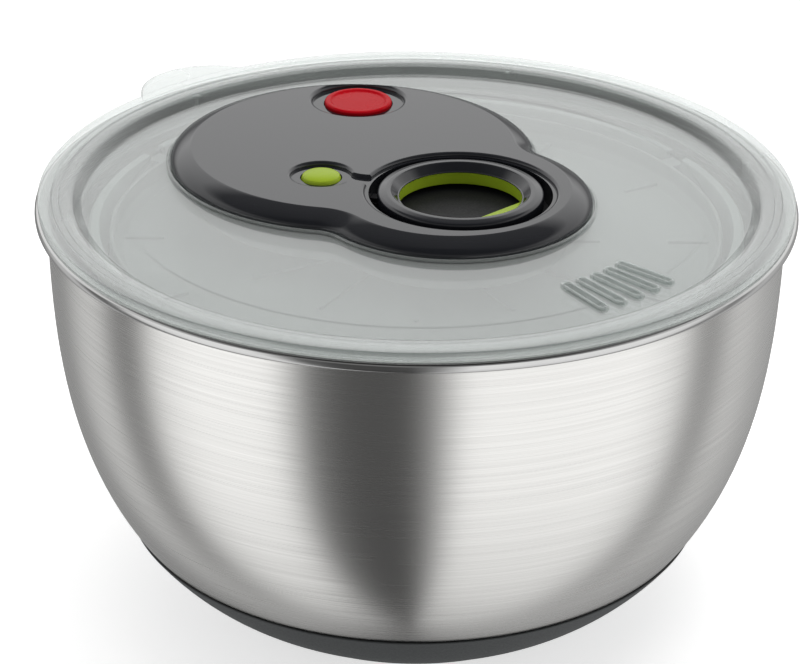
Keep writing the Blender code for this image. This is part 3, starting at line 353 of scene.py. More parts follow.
def brushed_steel(light, dark, roughness):
    """Steel with fine lines that run round the bowl, and a shine drawn out across them."""
    material, tree = node_material("brushed_steel")
    shader = principled(tree, light, roughness, 1.0)
    shader.inputs["Anisotropic"].default_value = 0.70
    shader.inputs["Anisotropic Rotation"].default_value = 0.25
    tangent = add_node(tree, "Tangent", direction_type="RADIAL", axis="Z")
    tree.links.new(tangent.outputs[0], shader.inputs["Tangent"])
    fine = object_noise(tree, 1.0, (9.0, 9.0, 3400.0), 4.0)
    broad = object_noise(tree, 1.0, (6.0, 6.0, 900.0), 3.0)
    scaled = add_node(tree, "Math", {0: broad, 1: 0.35}, operation="MULTIPLY")
    both = add_node(tree, "Math", {0: fine, 1: 0.65, 2: scaled.outputs[0]}, operation="MULTIPLY_ADD")
    lines = both.outputs[0]
    vary_colour(tree, shader, ranged(tree, lines, 0.0, 1.0), dark, light)
    vary_roughness(tree, shader, lines, roughness + 0.05, roughness - 0.05)
    add_bump(tree, shader, lines, 0.16, 0.00002)
    return material


def polished_steel(roughness):
    material, tree = node_material("polished_lip")
    shader = principled(tree, (0.46, 0.46, 0.455), roughness, 1.0)
    vary_roughness(tree, shader, object_noise(tree, 90.0), roughness * 0.7, roughness * 1.6)
    return material


def bowl_radius(height):
    belly = 1.0 - (1.0 - height / BOWL_TOP) ** BELLY_POWER
    wall_radius = RIM_RADIUS - LIP - BOWL_WALL / 2
    return FOOT_RADIUS + (wall_radius - FOOT_RADIUS) * belly ** (1.0 / ROUND_POWER)


def bowl_profile():
    """Up the inside, round the rolled lip, and down the outside."""
    stations = 44
    lip_under = BOWL_TOP - LIP
    inner = []
    outer = []
    for index in range(stations + 1):
        share = (index / stations) ** 2.0
        low = BOWL_UNDERSIDE + BOWL_WALL
        inner_height = low + (lip_under - 0.002 - low) * share
        outer_height = BOWL_UNDERSIDE + (lip_under - 0.0005 - BOWL_UNDERSIDE) * share
        inner.append((bowl_radius(inner_height) - BOWL_WALL, inner_height))
        outer.append((bowl_radius(outer_height), outer_height))
    wall = bowl_radius(lip_under)
    bead = soften([
        inner[-1], (wall - BOWL_WALL, BOWL_TOP - 0.0002), (wall + 0.0011, BOWL_TOP),
        (RIM_RADIUS, BOWL_TOP - 0.0001), (RIM_RADIUS, lip_under), (wall + 0.0007, lip_under),
        outer[-1],
    ], 0.0016, 5)
    floor = [(0.004, inner[0][1])]
    return floor + inner[:-1] + bead + outer[-2::-1] + [(0.004, BOWL_UNDERSIDE)]


def make_bowl():
    bowl = lathe("bowl_shell", bowl_profile(), segments=224)
    steel = brushed_steel((0.645, 0.64, 0.625), (0.56, 0.555, 0.54), 0.25)
    finish_piece(bowl, "bowl", steel, ["bowl"])
    bowl.data.materials.append(polished_steel(0.12))
    for face in bowl.data.polygons:
        if face.center.z > BOWL_TOP - LIP - 0.0003:
            face.material_index = 1


make_bowl()


# Base cap: a thin cup of dark non-slip plastic moulded over the bowl's foot,
# with a raised bead round its upper edge.

GRIP_GAP = 0.0003


def grained(name, colour, scale, roughness, strength, metallic=0.0, detail=3.0):
    """One colour with a fine grain in its gloss and its surface."""
    material, tree = node_material(name)
    shader = principled(tree, colour, sum(roughness) / 2, metallic)
    grain = object_noise(tree, scale, detail=detail)
    vary_roughness(tree, shader, grain, *roughness)
    add_bump(tree, shader, grain, strength, 0.0001)
    return material


def make_base_cap():
    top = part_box("base_cap")[1].z
    outer_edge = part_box("base_cap")[1].x
    thickness = outer_edge - bowl_radius(top) - GRIP_GAP
    stations = 16
    inner = []
    outer = []
    for index in range(stations + 1):
        share = (index / stations) ** 1.8
        height = BOWL_UNDERSIDE + (top - 0.0004 - BOWL_UNDERSIDE) * share
        inner.append((bowl_radius(height) + GRIP_GAP, height))
        outer.append((bowl_radius(height) + thickness, height))
    foot = [(outer[0][0] - 0.0004, 0.0008), (outer[0][0] - 0.0016, 0.0), (0.004, 0.0)]
    edge = soften([inner[-1], (inner[-1][0], top), (outer[-1][0], top), outer[-1]], 0.0003, 3)
    floor = [(0.004, 0.0020), (inner[0][0] - 0.0006, 0.0020)]
    profile = floor + inner[1:] + edge[1:-1] + outer[::-1] + foot
    cap = lathe("base_grip", profile, segments=224)
    rubber = grained("base_rubber", (0.024, 0.027, 0.028), 1400.0, (0.48, 0.66), 0.25)
    finish_piece(cap, "bowl", rubber, ["base_cap"])


make_base_cap()


# Lid: one clear moulding with a stepped flange, a recessed floor, a skirt with centring ribs,
# a grip tab at the back and five raised vent slots at the front.

LID_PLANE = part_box("lid")[1].z
LID_RADIUS = 0.1299
LID_EDGE = 0.0030
LID_WALL = 0.0020
FLOOR_TOP = LID_PLANE - 0.0040
FLOOR_UNDER = FLOOR_TOP - LID_WALL
RECESS_RADIUS = 0.1195
SKIRT_RADIUS = 0.1183
SKIRT_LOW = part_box("lid")[0].z
LINE_RADIUS = 0.1008
OPENING_INSET = 0.0078
BIG_LOBE = (-0.0225, 0.0300)
BIG_LOBE_RADIUS = 0.0650
SMALL_LOBE = (0.0120, -0.0080)
SMALL_LOBE_RADIUS = 0.0485
VALLEY_RADIUS = 0.0140
FIRST_RIB = 13.0
VENT_AZIMUTHS = (-57.0, -53.0, -49.0, -45.0, -41.0)
VENT_INNER = 0.0860
VENT_OUTER = 0.1090
VENT_HALF_WIDTH = 0.00225
VENT_WALL = 0.0010


def arc(centre, radius, start, end, steps):
    points = []
    for step in range(steps + 1):
        angle = start + (end - start) * step / steps
        points.append((centre[0] + radius * math.cos(angle), centre[1] + radius * math.sin(angle)))
    return points


def lobed_outline(inset, big_steps=96, small_steps=72, valley_steps=12):
    """Two round lobes joined by hollow fillets, moved inward by an inset."""
    gap_x = SMALL_LOBE[0] - BIG_LOBE[0]
    gap_y = SMALL_LOBE[1] - BIG_LOBE[1]
    spacing = math.hypot(gap_x, gap_y)
    line = math.atan2(gap_y, gap_x)
    to_big = BIG_LOBE_RADIUS + VALLEY_RADIUS
    to_small = SMALL_LOBE_RADIUS + VALLEY_RADIUS
    at_big = math.acos((to_big ** 2 + spacing ** 2 - to_small ** 2) / (2 * to_big * spacing))
    at_small = math.acos((to_small ** 2 + spacing ** 2 - to_big ** 2) / (2 * to_small * spacing))
    upper = (BIG_LOBE[0] + to_big * math.cos(line + at_big), BIG_LOBE[1] + to_big * math.sin(line + at_big))
    lower = (BIG_LOBE[0] + to_big * math.cos(line - at_big), BIG_LOBE[1] + to_big * math.sin(line - at_big))
    big_end = line - at_big
    big_start = line + at_big - 2 * math.pi
    small_start = line + math.pi + at_small
    small_end = line + 3 * math.pi - at_small
    big = arc(BIG_LOBE, BIG_LOBE_RADIUS - inset, big_start, big_end, big_steps)
    small = arc(SMALL_LOBE, SMALL_LOBE_RADIUS - inset, small_start, small_end, small_steps)
    first = arc(lower, VALLEY_RADIUS + inset, big_end + math.pi, small_start - math.pi, valley_steps)
    second = arc(upper, VALLEY_RADIUS + inset, small_end - math.pi, big_start + 3 * math.pi, valley_steps)
    return big + first[1:-1] + small + second[1:-1]


def outline_plate(name, outline, low, high):
    """A disc primitive whose rim is moved onto an outline, raised to a plate."""
    bpy.ops.mesh.primitive_circle_add(vertices=len(outline), radius=0.01, fill_type="NGON")
    obj = bpy.context.active_object
    obj.name = name
    for vertex, (x, y) in zip(obj.data.vertices, outline):
        vertex.co = (x, y, low)
    bpy.ops.object.mode_set(mode="EDIT")
    bpy.ops.mesh.select_all(action="SELECT")
    bpy.ops.mesh.extrude_region_move(TRANSFORM_OT_translate={"value": (0.0, 0.0, high - low)})
    face_outward()
    bpy.ops.object.mode_set(mode="OBJECT")
    return obj


def loft(name, rings, closed=False):
    """A skin over rings of points, capped at both ends or closed on itself."""
    bm = bmesh.new()
    corners = [[bm.verts.new(point) for point in ring] for ring in rings]
    pairs = list(zip(corners, corners[1:]))
    if closed:
        pairs.append((corners[-1], corners[0]))
    for lower, upper in pairs:
        for index in range(len(lower)):
            after = (index + 1) % len(lower)
            bm.faces.new((lower[index], lower[after], upper[after], upper[index]))
    if not closed:
        bm.faces.new(corners[0][::-1])
        bm.faces.new(corners[-1])
    bmesh.ops.recalc_face_normals(bm, faces=bm.faces)
    mesh = bpy.data.meshes.new(name)
    bm.to_mesh(mesh)
    bm.free()
    obj = bpy.data.objects.new(name, mesh)
    bpy.context.scene.collection.objects.link(obj)
    return obj


def lobed_loft(name, levels, closed=False):
    """A loft through the cover's two-lobed outline, moved inward by an inset at each height."""
    return loft(name, [[(x, y, z) for x, y in lobed_outline(inset)] for inset, z in levels], closed)


def combine(obj, operation, *tools):
    """Joins or cuts a piece with other shapes, which are then thrown away."""
    for tool in tools:
        only_select(obj)
        step = obj.modifiers.new("combine", "BOOLEAN")
        step.operation = operation
        step.solver = "EXACT"
        step.object = tool
        bpy.ops.object.modifier_apply(modifier=step.name)
        bpy.data.objects.remove(tool, do_unlink=True)
        if len(obj.data.polygons) == 0:
            raise ValueError(obj.name + " vanished when it was combined")
    return obj


def turned_about_axis(points, azimuth):
    """Turns points about the drive axis by an azimuth in degrees."""
    cosine = math.cos(math.radians(azimuth))
    sine = math.sin(math.radians(azimuth))
    return [(x * cosine - y * sine, x * sine + y * cosine) for x, y in points]


def slot_outline(inner, outer, half_width, azimuth, steps=10):
    far = arc((outer - half_width, 0.0), half_width, -math.pi / 2, math.pi / 2, steps)
    near = arc((inner + half_width, 0.0), half_width, math.pi / 2, 3 * math.pi / 2, steps)
    return turned_about_axis(far + near, azimuth)


def clear_plastic():
    """Clear moulding with a pale haze: more solid at a grazing angle, and a little more in the flange."""
    material, tree = node_material("clear_plastic")
    shader = add_node(tree, "BsdfPrincipled")
    shader.inputs["IOR"].default_value = 2.1
    shader.inputs["Coat Weight"].default_value = 1.0
    shader.inputs["Coat Roughness"].default_value = 0.03
    see_through = add_node(tree, "BsdfTransparent", {"Color": (0.94, 0.965, 0.955, 1.0)})
    facing = add_node(tree, "LayerWeight", {"Blend": 0.5})
    coordinates = add_node(tree, "TexCoord")
    flat = add_node(tree, "VectorMath", {
        0: coordinates.outputs["Object"], 1: (1.0, 1.0, 0.0),
    }, operation="MULTIPLY")
    reach = add_node(tree, "VectorMath", {0: flat.outputs[0]}, operation="LENGTH")
    flange = ranged(tree, reach.outputs["Value"], 1.0, 1.15, 0.1165, 0.1200)
    grazing = ranged(tree, facing.outputs["Facing"], 0.20, 0.70, 0.40, 1.0)
    solid = add_node(tree, "Math", {0: grazing, 1: flange}, operation="MULTIPLY")
    mix = add_node(tree, "MixShader", {
        "Fac": solid.outputs[0], 1: see_through.outputs[0], 2: shader.outputs[0],
    })
    add_node(tree, "OutputMaterial", {"Surface": mix.outputs[0]})
    haze = object_noise(tree, 14.0)
    vary_colour(tree, shader, ranged(tree, haze, 0.0, 1.0), (0.72, 0.74, 0.73), (0.80, 0.82, 0.81))
    vary_roughness(tree, shader, haze, 0.04, 0.10)
    return material


CLEAR = clear_plastic()


def rod(name, radius, low, high, centre, segments):
    return lathe(name, [(radius, low), (radius, high)], centre, segments)


def make_tab():
    """The grip tab: a shallow round lug at the back left, cut away inside the flange."""
    azimuth = math.radians(131.5)
    radius = 0.0256
    reach = LID_RADIUS + 0.0130 - radius
    top = LID_PLANE - 0.0002
    low = top - 0.0025
    centre = (reach * math.cos(azimuth), reach * math.sin(azimuth))
    profile = soften([(0.0005, top), (radius, top), (radius, low), (0.0005, low)], 0.0009, 5)
    tab = lathe("tab", profile, centre, 96)
    inside = rod("inside", LID_RADIUS - 0.0030, low - 0.002, top + 0.002, (0.0, 0.0), 240)
    return combine(tab, "DIFFERENCE", inside)


def bevel_edges(obj, width, segments):
    only_select(obj)
    edge = obj.modifiers.new("edge", "BEVEL")
    edge.width = width
    edge.segments = segments
    edge.limit_method = "ANGLE"
    edge.angle_limit = math.radians(50.0)
    bpy.ops.object.modifier_apply(modifier=edge.name)


def lid_profile():
    """From the recessed floor out over the stepped flange, down the skirt and back under the floor."""
    skirt_inner = SKIRT_RADIUS - LID_WALL
    flange_under = LID_PLANE - LID_WALL
    edge_under = LID_PLANE - LID_EDGE
    return [
        (0.010, FLOOR_TOP), (RECESS_RADIUS - 0.0048, FLOOR_TOP), (RECESS_RADIUS - 0.0012, LID_PLANE - 0.0012),
        (RECESS_RADIUS + 0.0010, LID_PLANE - 0.0009), (0.1224, LID_PLANE - 0.0009),
        (0.1228, LID_PLANE - 0.0005),
        (0.1250, LID_PLANE - 0.0005), (0.1254, LID_PLANE), (LID_RADIUS, LID_PLANE), (LID_RADIUS, edge_under),
        (LID_RADIUS - 0.0040, edge_under), (LID_RADIUS - 0.0048, flange_under),
        (SKIRT_RADIUS + 0.0002, flange_under - 0.0004), (SKIRT_RADIUS, SKIRT_LOW),
        (skirt_inner, SKIRT_LOW), (skirt_inner - 0.0001, FLOOR_UNDER), (LINE_RADIUS + 0.0006, FLOOR_UNDER),
        (LINE_RADIUS, FLOOR_UNDER - 0.0004), (LINE_RADIUS - 0.0006, FLOOR_UNDER), (0.010, FLOOR_UNDER),
    ]


def make_lid():
    lid = lathe("lid_shell", soften(lid_profile(), 0.0007, 3), segments=240)
    inside = SKIRT_RADIUS - 0.001
    outside = SKIRT_RADIUS + 0.0032
    rib_outline = [(inside, -0.001), (outside, -0.0007), (outside, 0.0007), (inside, 0.001)]
    for index in range(6):
        outline = turned_about_axis(rib_outline, FIRST_RIB + 60.0 * index)
        rib = outline_plate("rib", outline, SKIRT_LOW + 0.0020, LID_PLANE - LID_WALL - 0.0010)
        combine(lid, "UNION", rib)
    combine(lid, "UNION", make_tab())
    for azimuth in VENT_AZIMUTHS:
        outline = slot_outline(VENT_INNER, VENT_OUTER, VENT_HALF_WIDTH, azimuth)
        loop = outline_plate("loop", outline, FLOOR_TOP - 0.0006, FLOOR_TOP + 0.0010)
        bevel_edges(loop, 0.0006, 3)
        combine(lid, "UNION", loop)
        inset = VENT_HALF_WIDTH - VENT_WALL
        outline = slot_outline(VENT_INNER + VENT_WALL, VENT_OUTER - VENT_WALL, inset, azimuth)
        slot = outline_plate("slot", outline, FLOOR_UNDER - 0.001, FLOOR_TOP + 0.002)
        combine(lid, "DIFFERENCE", slot)
    collar = lobed_loft("collar", [
        (-0.0014, FLOOR_TOP - 0.0006), (-0.0014, FLOOR_TOP + 0.0008), (-0.0010, FLOOR_TOP + 0.0012),
        (-0.0006, FLOOR_TOP + 0.0012), (-0.0003, FLOOR_TOP + 0.0008), (-0.0003, FLOOR_TOP - 0.0006),
    ], closed=True)
    combine(lid, "UNION", collar)
    opening = lobed_loft("opening", [
        (OPENING_INSET, FLOOR_UNDER - 0.001), (OPENING_INSET, FLOOR_TOP + 0.001),
    ])
    combine(lid, "DIFFERENCE", opening)
    finish_piece(lid, "lid", CLEAR, ["lid"], 30.0)


make_lid()


# Mechanism cover: a glossy black shell with two round lobes and a soft shoulder.
# The ring and both buttons sit in dishes with rounded edges.

COVER_TOP = FLOOR_TOP + 0.0060
COVER_WALL = 0.0016
SHOULDER = 0.0074
COVER_SEAT = FLOOR_TOP + 0.0003
COVER_FOOT_RIM = FLOOR_TOP + 0.0016
RING_CENTRE = (0.0150, -0.0110)
RING_DISH = 0.0315
DISH_FLOOR = COVER_TOP - 0.0090
STOP_CENTRE = (-0.0215, 0.0730)
STOP_DISH = 0.0175
STOP_DISH_DEPTH = 0.0018
RELEASE_CENTRE = (-0.0330, 0.0020)
RELEASE_DISH = 0.0110
RELEASE_DISH_DEPTH = 0.0014
RELEASE_FLARE = 0.45
CORD_AZIMUTH = math.radians(-49.8)
CORD_REACH = 0.0170
CORD_EXIT = (
    RING_CENTRE[0] + CORD_REACH * math.cos(CORD_AZIMUTH),
    RING_CENTRE[1] + CORD_REACH * math.sin(CORD_AZIMUTH),
)


def shaded(colour, share):
    return tuple(level * share for level in colour)


def gloss_plastic(name, colour, roughness, variation, shine=0.5):
    """Smooth moulded plastic: a faint flow mottle in colour and gloss, and a very fine skin."""
    material, tree = node_material(name)
    shader = principled(tree, colour, roughness)
    shader.inputs["Specular IOR Level"].default_value = shine
    mottle = object_noise(tree, 45.0, detail=4.0)
    vary_colour(tree, shader, ranged(tree, mottle, 0.0, 1.0), shaded(colour, 0.90), colour)
    vary_roughness(tree, shader, mottle, roughness - variation, roughness + variation)
    add_bump(tree, shader, object_noise(tree, 900.0, detail=2.0), 0.03, 0.0001)
    return material


def moulded_plastic(name, colour, roughness):
    """Matte moulded plastic with a spark-eroded grain and a slight unevenness in colour."""
    material, tree = node_material(name)
    shader = principled(tree, colour, roughness)
    cloud = object_noise(tree, 60.0, detail=4.0)
    vary_colour(tree, shader, ranged(tree, cloud, 0.0, 1.0), shaded(colour, 0.86), colour)
    grain = object_noise(tree, 1600.0, detail=2.0)
    vary_roughness(tree, shader, grain, roughness - 0.06, roughness + 0.08)
    add_bump(tree, shader, grain, 0.18, 0.0001)
    return material


BLACK = gloss_plastic("black_gloss", (0.017, 0.018, 0.022), 0.07, 0.02)
# Dark matte plastic for the pivot foot and the ring latch. Its darker colour is also painted shade on the
# ring dish's floor.
DARK_PLASTIC_AND_PAINTED_SHADE = moulded_plastic("dark_plastic", (0.012, 0.012, 0.014), 0.60)


def dish_cutter(name, radius, floor, flare, centre, segments=128):
    """A cutter whose upper edge flares out, so that the dish gets a rounded rim."""
    profile = [(radius, floor), (radius, COVER_TOP - flare)]
    for step in range(1, 6):
        angle = math.pi / 2 * step / 5
        out = flare * (1 - math.cos(angle))
        profile.append((radius + out, COVER_TOP - flare * (1 - math.sin(angle))))
    top_radius = radius + flare
    profile.append((top_radius + 0.0005, COVER_TOP + 0.0004))
    profile.append((top_radius + 0.0005, COVER_TOP + 0.003))
    return lathe(name, profile, centre, segments)


def neck_outline(waist, flare, z, steps=12):
    """The trough from the release button's dish to the ring's: narrow in the middle, flared at its ends."""
    run_x = RING_CENTRE[0] - RELEASE_CENTRE[0]
    run_y = RING_CENTRE[1] - RELEASE_CENTRE[1]
    distance = math.hypot(run_x, run_y)
    azimuth = math.degrees(math.atan2(run_y, run_x))
    start = RELEASE_DISH - 0.0035
    end = distance - RING_DISH + 0.0030
    side = []
    for step in range(steps + 1):
        share = step / steps
        bow = abs(2 * share - 1) ** 2.6
        spread = flare if share > 0.5 else RELEASE_FLARE * flare
        side.append((start + (end - start) * share, waist / 2 + spread * bow))
    loop = turned_about_axis([(x, -y) for x, y in side] + side[::-1], azimuth)
    return [(x + RELEASE_CENTRE[0], y + RELEASE_CENTRE[1], z) for x, y in loop]


def shoulder_levels():
    """From the foot up to a crisp edge round the top: steep at the foot, then a long convex slope."""
    slope = [(0.0, 0.0)]
    steps = 12
    for step in range(steps):
        tilt = math.radians(30.0 + 53.0 * ((step + 0.5) / steps) ** 1.6)
        out, down = slope[-1]
        slope.append((out + math.cos(tilt), down + math.sin(tilt)))
    width = SHOULDER / slope[-1][0]
    rise = (COVER_TOP - COVER_FOOT_RIM) / slope[-1][1]
    return [(SHOULDER - width * out, COVER_TOP - rise * down) for out, down in slope[::-1]]


def make_cover():
    ceiling = COVER_TOP - COVER_WALL
    inner = [
        (0.0092, ceiling), (0.0050, ceiling - 0.0008), (0.0026, ceiling - 0.0022),
        (COVER_WALL, COVER_FOOT_RIM - 0.0003), (COVER_WALL, COVER_SEAT),
    ]
    outer = [(0.0002, COVER_SEAT), (0.0, COVER_SEAT + 0.0002)]
    shoulder = shoulder_levels()
    edge = [(SHOULDER + 0.0003, COVER_TOP + 0.00001), (0.0300, COVER_TOP + 0.00001)]
    cover = lobed_loft("cover_shell", inner + outer + shoulder + edge)
    cup_top = COVER_TOP - 0.0016
    collar_low = COVER_SEAT + 0.0002
    cup_under = DISH_FLOOR - COVER_WALL
    release_floor = COVER_TOP - RELEASE_DISH_DEPTH
    cups = [
        rod("cup", RING_DISH + COVER_WALL, cup_under, cup_top, RING_CENTRE, 96),
        rod("cup", STOP_DISH + COVER_WALL, collar_low, cup_top, STOP_CENTRE, 64),
        rod("cup", 0.0102, cup_under - 0.0003, cup_top, RELEASE_CENTRE, 48),
    ]
    combine(cover, "UNION", *cups)
    neck = loft("neck", [
        neck_outline(0.0050, 0.0056, COVER_TOP - 0.0013), neck_outline(0.0056, 0.0057, COVER_TOP - 0.0009),
        neck_outline(0.0074, 0.0062, COVER_TOP), neck_outline(0.0082, 0.0064, COVER_TOP + 0.0020),
    ])
    cuts = [
        dish_cutter("dish", RING_DISH + 0.0012, COVER_TOP - 0.0013, 0.0012, RING_CENTRE, 160),
        rod("dish", RING_DISH, DISH_FLOOR, COVER_TOP, RING_CENTRE, 128),
        dish_cutter("dish", STOP_DISH - 0.0008, COVER_TOP - STOP_DISH_DEPTH, 0.0015, STOP_CENTRE),
        rod("hole", 0.0128, collar_low - 0.002, COVER_TOP, STOP_CENTRE, 96),
        dish_cutter("dish", RELEASE_DISH - 0.0006, release_floor, 0.0012, RELEASE_CENTRE, 96),
        rod("hole", 0.0073, cup_under + 0.0010, COVER_TOP, RELEASE_CENTRE, 64),
        neck,
        rod("hole", 0.0024, cup_under - 0.001, DISH_FLOOR + 0.001, CORD_EXIT, 24),
    ]
    combine(cover, "DIFFERENCE", *cuts)
    finish_piece(cover, "lid", BLACK, ["housing_cover"], 22.0)
    # The ring dish's floor takes the darker matte plastic: painted shade that makes the hole under the ring
    # read black.
    cover.data.materials.append(DARK_PLASTIC_AND_PAINTED_SHADE)
    for face in cover.data.polygons:
        if face.center.z < DISH_FLOOR + 0.0004 and face.normal.z > 0.5:
            face.material_index = 1


make_cover()


# Pull ring: a black ring for two fingers, with a lime insert that carries the cord's pad.

RING_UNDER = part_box("pull_ring")[0].z
RING_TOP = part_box("pull_ring")[1].z
RING_RADIUS = 0.0285
RING_HOLE = 0.0210
INSERT_WALL = 0.0032
INSERT_HEIGHT = 0.0046
INSERT_GAP = 0.0003
PAD_CHORD = 0.0125
PAD_AZIMUTH = math.radians(-47.0)


def make_ring():
    recess = RING_HOLE + INSERT_WALL + INSERT_GAP
    insert_low = RING_UNDER + INSERT_GAP
    insert_high = insert_low + INSERT_HEIGHT
    recess_top = insert_high + INSERT_GAP
    outline = [
        (RING_RADIUS - 0.0030, RING_TOP), (RING_RADIUS, RING_TOP - 0.0006), (RING_RADIUS, RING_UNDER),
        (recess, RING_UNDER), (recess, recess_top), (RING_HOLE, recess_top), (RING_HOLE, RING_TOP - 0.0030),
        (RING_HOLE + 0.0030, RING_TOP), (RING_RADIUS - 0.0030, RING_TOP),
    ]
    middle = ((RING_HOLE + RING_RADIUS) / 2, RING_TOP)
    profile = soften([middle] + outline[:-1] + [middle], 0.0013, 6)
    ring = lathe("finger_ring", profile[:-1], RING_CENTRE, 160, ring=True)
    finish_piece(ring, "ring", BLACK, ["pull_ring"], 40.0)
    wall = soften([
        (RING_HOLE + 0.0018, insert_high), (RING_HOLE + INSERT_WALL, insert_high),
        (RING_HOLE + INSERT_WALL, insert_low), (RING_HOLE + 0.0004, insert_low),
        (RING_HOLE + 0.0004, insert_high), (RING_HOLE + 0.0018, insert_high),
    ], 0.0004, 3)
    insert = lathe("lime_insert", wall[:-1], RING_CENTRE, 160, ring=True)
    pad_radius = RING_HOLE + 0.0014
    half_angle = math.acos(PAD_CHORD / pad_radius)
    outline = arc(RING_CENTRE, pad_radius, PAD_AZIMUTH - half_angle, PAD_AZIMUTH + half_angle, 30)
    pad = outline_plate("pad", outline, insert_low + 0.0001, insert_low + 0.0018)
    combine(insert, "UNION", pad)
    finish_piece(insert, "ring", LIME, ["ring_insert"], 35.0)


LIME = gloss_plastic("lime_plastic", (0.42, 0.58, 0.030), 0.34, 0.06, shine=0.16)
make_ring()


# Buttons: a red one with a raised rim that brakes the basket, and a lime dome that frees the ring.

def make_buttons():
    red = gloss_plastic("red_plastic", (0.60, 0.004, 0.012), 0.26, 0.05, shine=0.04)
    low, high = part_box("stop_button")
    top = high.z - 0.0006
    skirt = top - 0.0035
    stop = lathe("brake_button", soften([
        (0.0003, top + 0.0001), (0.0098, top), (0.0104, top + 0.0006), (0.0119, top + 0.0006), (0.0125, top),
        (0.0125, skirt), (0.0040, skirt), (0.0040, low.z + 0.0019), (0.0003, low.z + 0.0019),
    ], 0.0005, 4), STOP_CENTRE, 128)
    finish_piece(stop, "stop", red, ["stop_button"], 40.0)
    low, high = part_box("release_button")
    top = high.z - 0.0012
    dome = []
    for step in range(11):
        angle = math.radians(90.0 - 76.0 * step / 10)
        drop = 0.0016 * (1 - math.sin(angle)) ** 1.2
        dome.append((max(0.0003, 0.0067 * math.cos(angle)), top + 0.0012 - drop))
    skirt = top - 0.0028
    release = lathe("release_dome", dome + soften([
        dome[-1], (0.0070, top - 0.0012), (0.0070, skirt), (0.0018, skirt), (0.0018, low.z), (0.0003, low.z),
    ], 0.0005, 4)[1:], RELEASE_CENTRE, 96)
    finish_piece(release, "release", LIME, ["release_button"], 45.0)


make_buttons()


# Buttons' springs: small coils of steel wire, which on the real spinner flatten as the buttons go down.

BRIGHT_STEEL = grained("bright_steel", (0.68, 0.68, 0.67), 700.0, (0.14, 0.34), 0.10, 1.0, 4.0)


def close_ends(obj):
    """Caps the open ends of a tube and turns its faces outward."""
    only_select(obj)
    bpy.ops.object.mode_set(mode="EDIT")
    bpy.ops.mesh.select_mode(type="EDGE")
    bpy.ops.mesh.select_all(action="DESELECT")
    bpy.ops.mesh.select_non_manifold()
    bpy.ops.mesh.fill_holes(sides=0)
    bpy.ops.mesh.select_mode(type="VERT")
    face_outward()
    bpy.ops.object.mode_set(mode="OBJECT")


def coil_spring(name, radius, wire, low, high, turns, centre):
    """A wire circle swept up a helix."""
    bpy.ops.mesh.primitive_circle_add(
        vertices=14, radius=wire, location=(radius, 0.0, low + wire), rotation=(math.pi / 2, 0.0, 0.0))
    spring = bpy.context.active_object
    spring.name = name
    only_select(spring)
    bpy.ops.object.transform_apply(location=True, rotation=True, scale=True)
    sweep = spring.modifiers.new("sweep", "SCREW")
    sweep.axis = "Z"
    sweep.angle = 2 * math.pi * turns
    sweep.screw_offset = high - low - 2 * wire
    sweep.steps = int(36 * turns)
    sweep.render_steps = int(36 * turns)
    bpy.ops.object.modifier_apply(modifier=sweep.name)
    close_ends(spring)
    spring.location = (centre[0], centre[1], 0.0)
    return spring


def make_springs():
    low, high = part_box("stop_spring")
    spring = coil_spring("stop_spring_coil", 0.0075, 0.0005, low.z, high.z, 4, STOP_CENTRE)
    finish_piece(spring, "lid", BRIGHT_STEEL, ["stop_spring"], 60.0)
    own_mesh(spring)
    low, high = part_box("release_spring")
    spring = coil_spring("release_spring_coil", 0.0029, 0.0003, low.z, high.z, 3, RELEASE_CENTRE)
    finish_piece(spring, "lid", BRIGHT_STEEL, ["release_spring"], 60.0)
    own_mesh(spring)


make_springs()


# Pull cord: braided white cord that comes up through a steel eyelet to the ring's pad.
# On the real spinner the stretch between them lengthens as the ring is pulled.

def braided_cord():
    material, tree = node_material("cord_fibre")
    shader = principled(tree, (0.72, 0.72, 0.68), 0.85)
    shader.inputs["Sheen Weight"].default_value = 0.30
    coordinates = add_node(tree, "TexCoord")
    weave = []
    for tilt in (0.7, -0.7):
        mapping = add_node(tree, "Mapping", {
            "Vector": coordinates.outputs["Object"], "Rotation": (0.0, tilt, 0.0),
        })
        strands = add_node(tree, "TexWave", {"Vector": mapping.outputs[0], "Scale": 500.0, "Distortion": 0.6})
        weave.append(strands.outputs["Fac"])
    crossed = add_node(tree, "Math", {0: weave[0], 1: weave[1]}, operation="MULTIPLY")
    vary_colour(tree, shader, crossed.outputs[0], (0.46, 0.46, 0.43), (0.78, 0.78, 0.74))
    add_bump(tree, shader, crossed.outputs[0], 0.6, 0.0002)
    return material


CORD_FIBRE = braided_cord()


def make_cord():
    low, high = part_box("pull_cord")
    radius = 0.00074
    rows = 24
    cord_top = high.z - 0.0002
    profile = [(0.0001, high.z - 0.00001), (radius * 0.8, high.z - 0.00001)]
    for row in range(rows + 1):
        profile.append((radius, cord_top + (low.z + 0.0001 - high.z) * row / rows))
    profile.append((0.0001, low.z + 0.0001))
    cord = lathe("braided_pull_cord", profile, CORD_EXIT, 20)
    finish_piece(cord, None, CORD_FIBRE, ["pull_cord"], 60.0)
    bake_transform(cord)
    low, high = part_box("cord_eyelet")
    lip = high.z - 0.0006
    outer = (high.x - low.x) / 2
    neck = outer - 0.0012
    bore = 0.00106
    middle = ((bore + outer) / 2, high.z)
    eyelet = lathe("eyelet_ring", soften([
        middle, (outer, high.z), (outer, lip), (neck, lip), (neck, low.z), (bore, low.z), (bore, high.z),
        middle,
    ], 0.0003, 4)[:-1], CORD_EXIT, 48, ring=True)
    finish_piece(eyelet, "lid", BRIGHT_STEEL, ["cord_eyelet"], 40.0)


make_cord()


# Basket: a pale frosted moulding with drain slots in its floor and two rows of them in its wall,
# a rolled rim, and six notches in the rim for the drive plate's lugs.

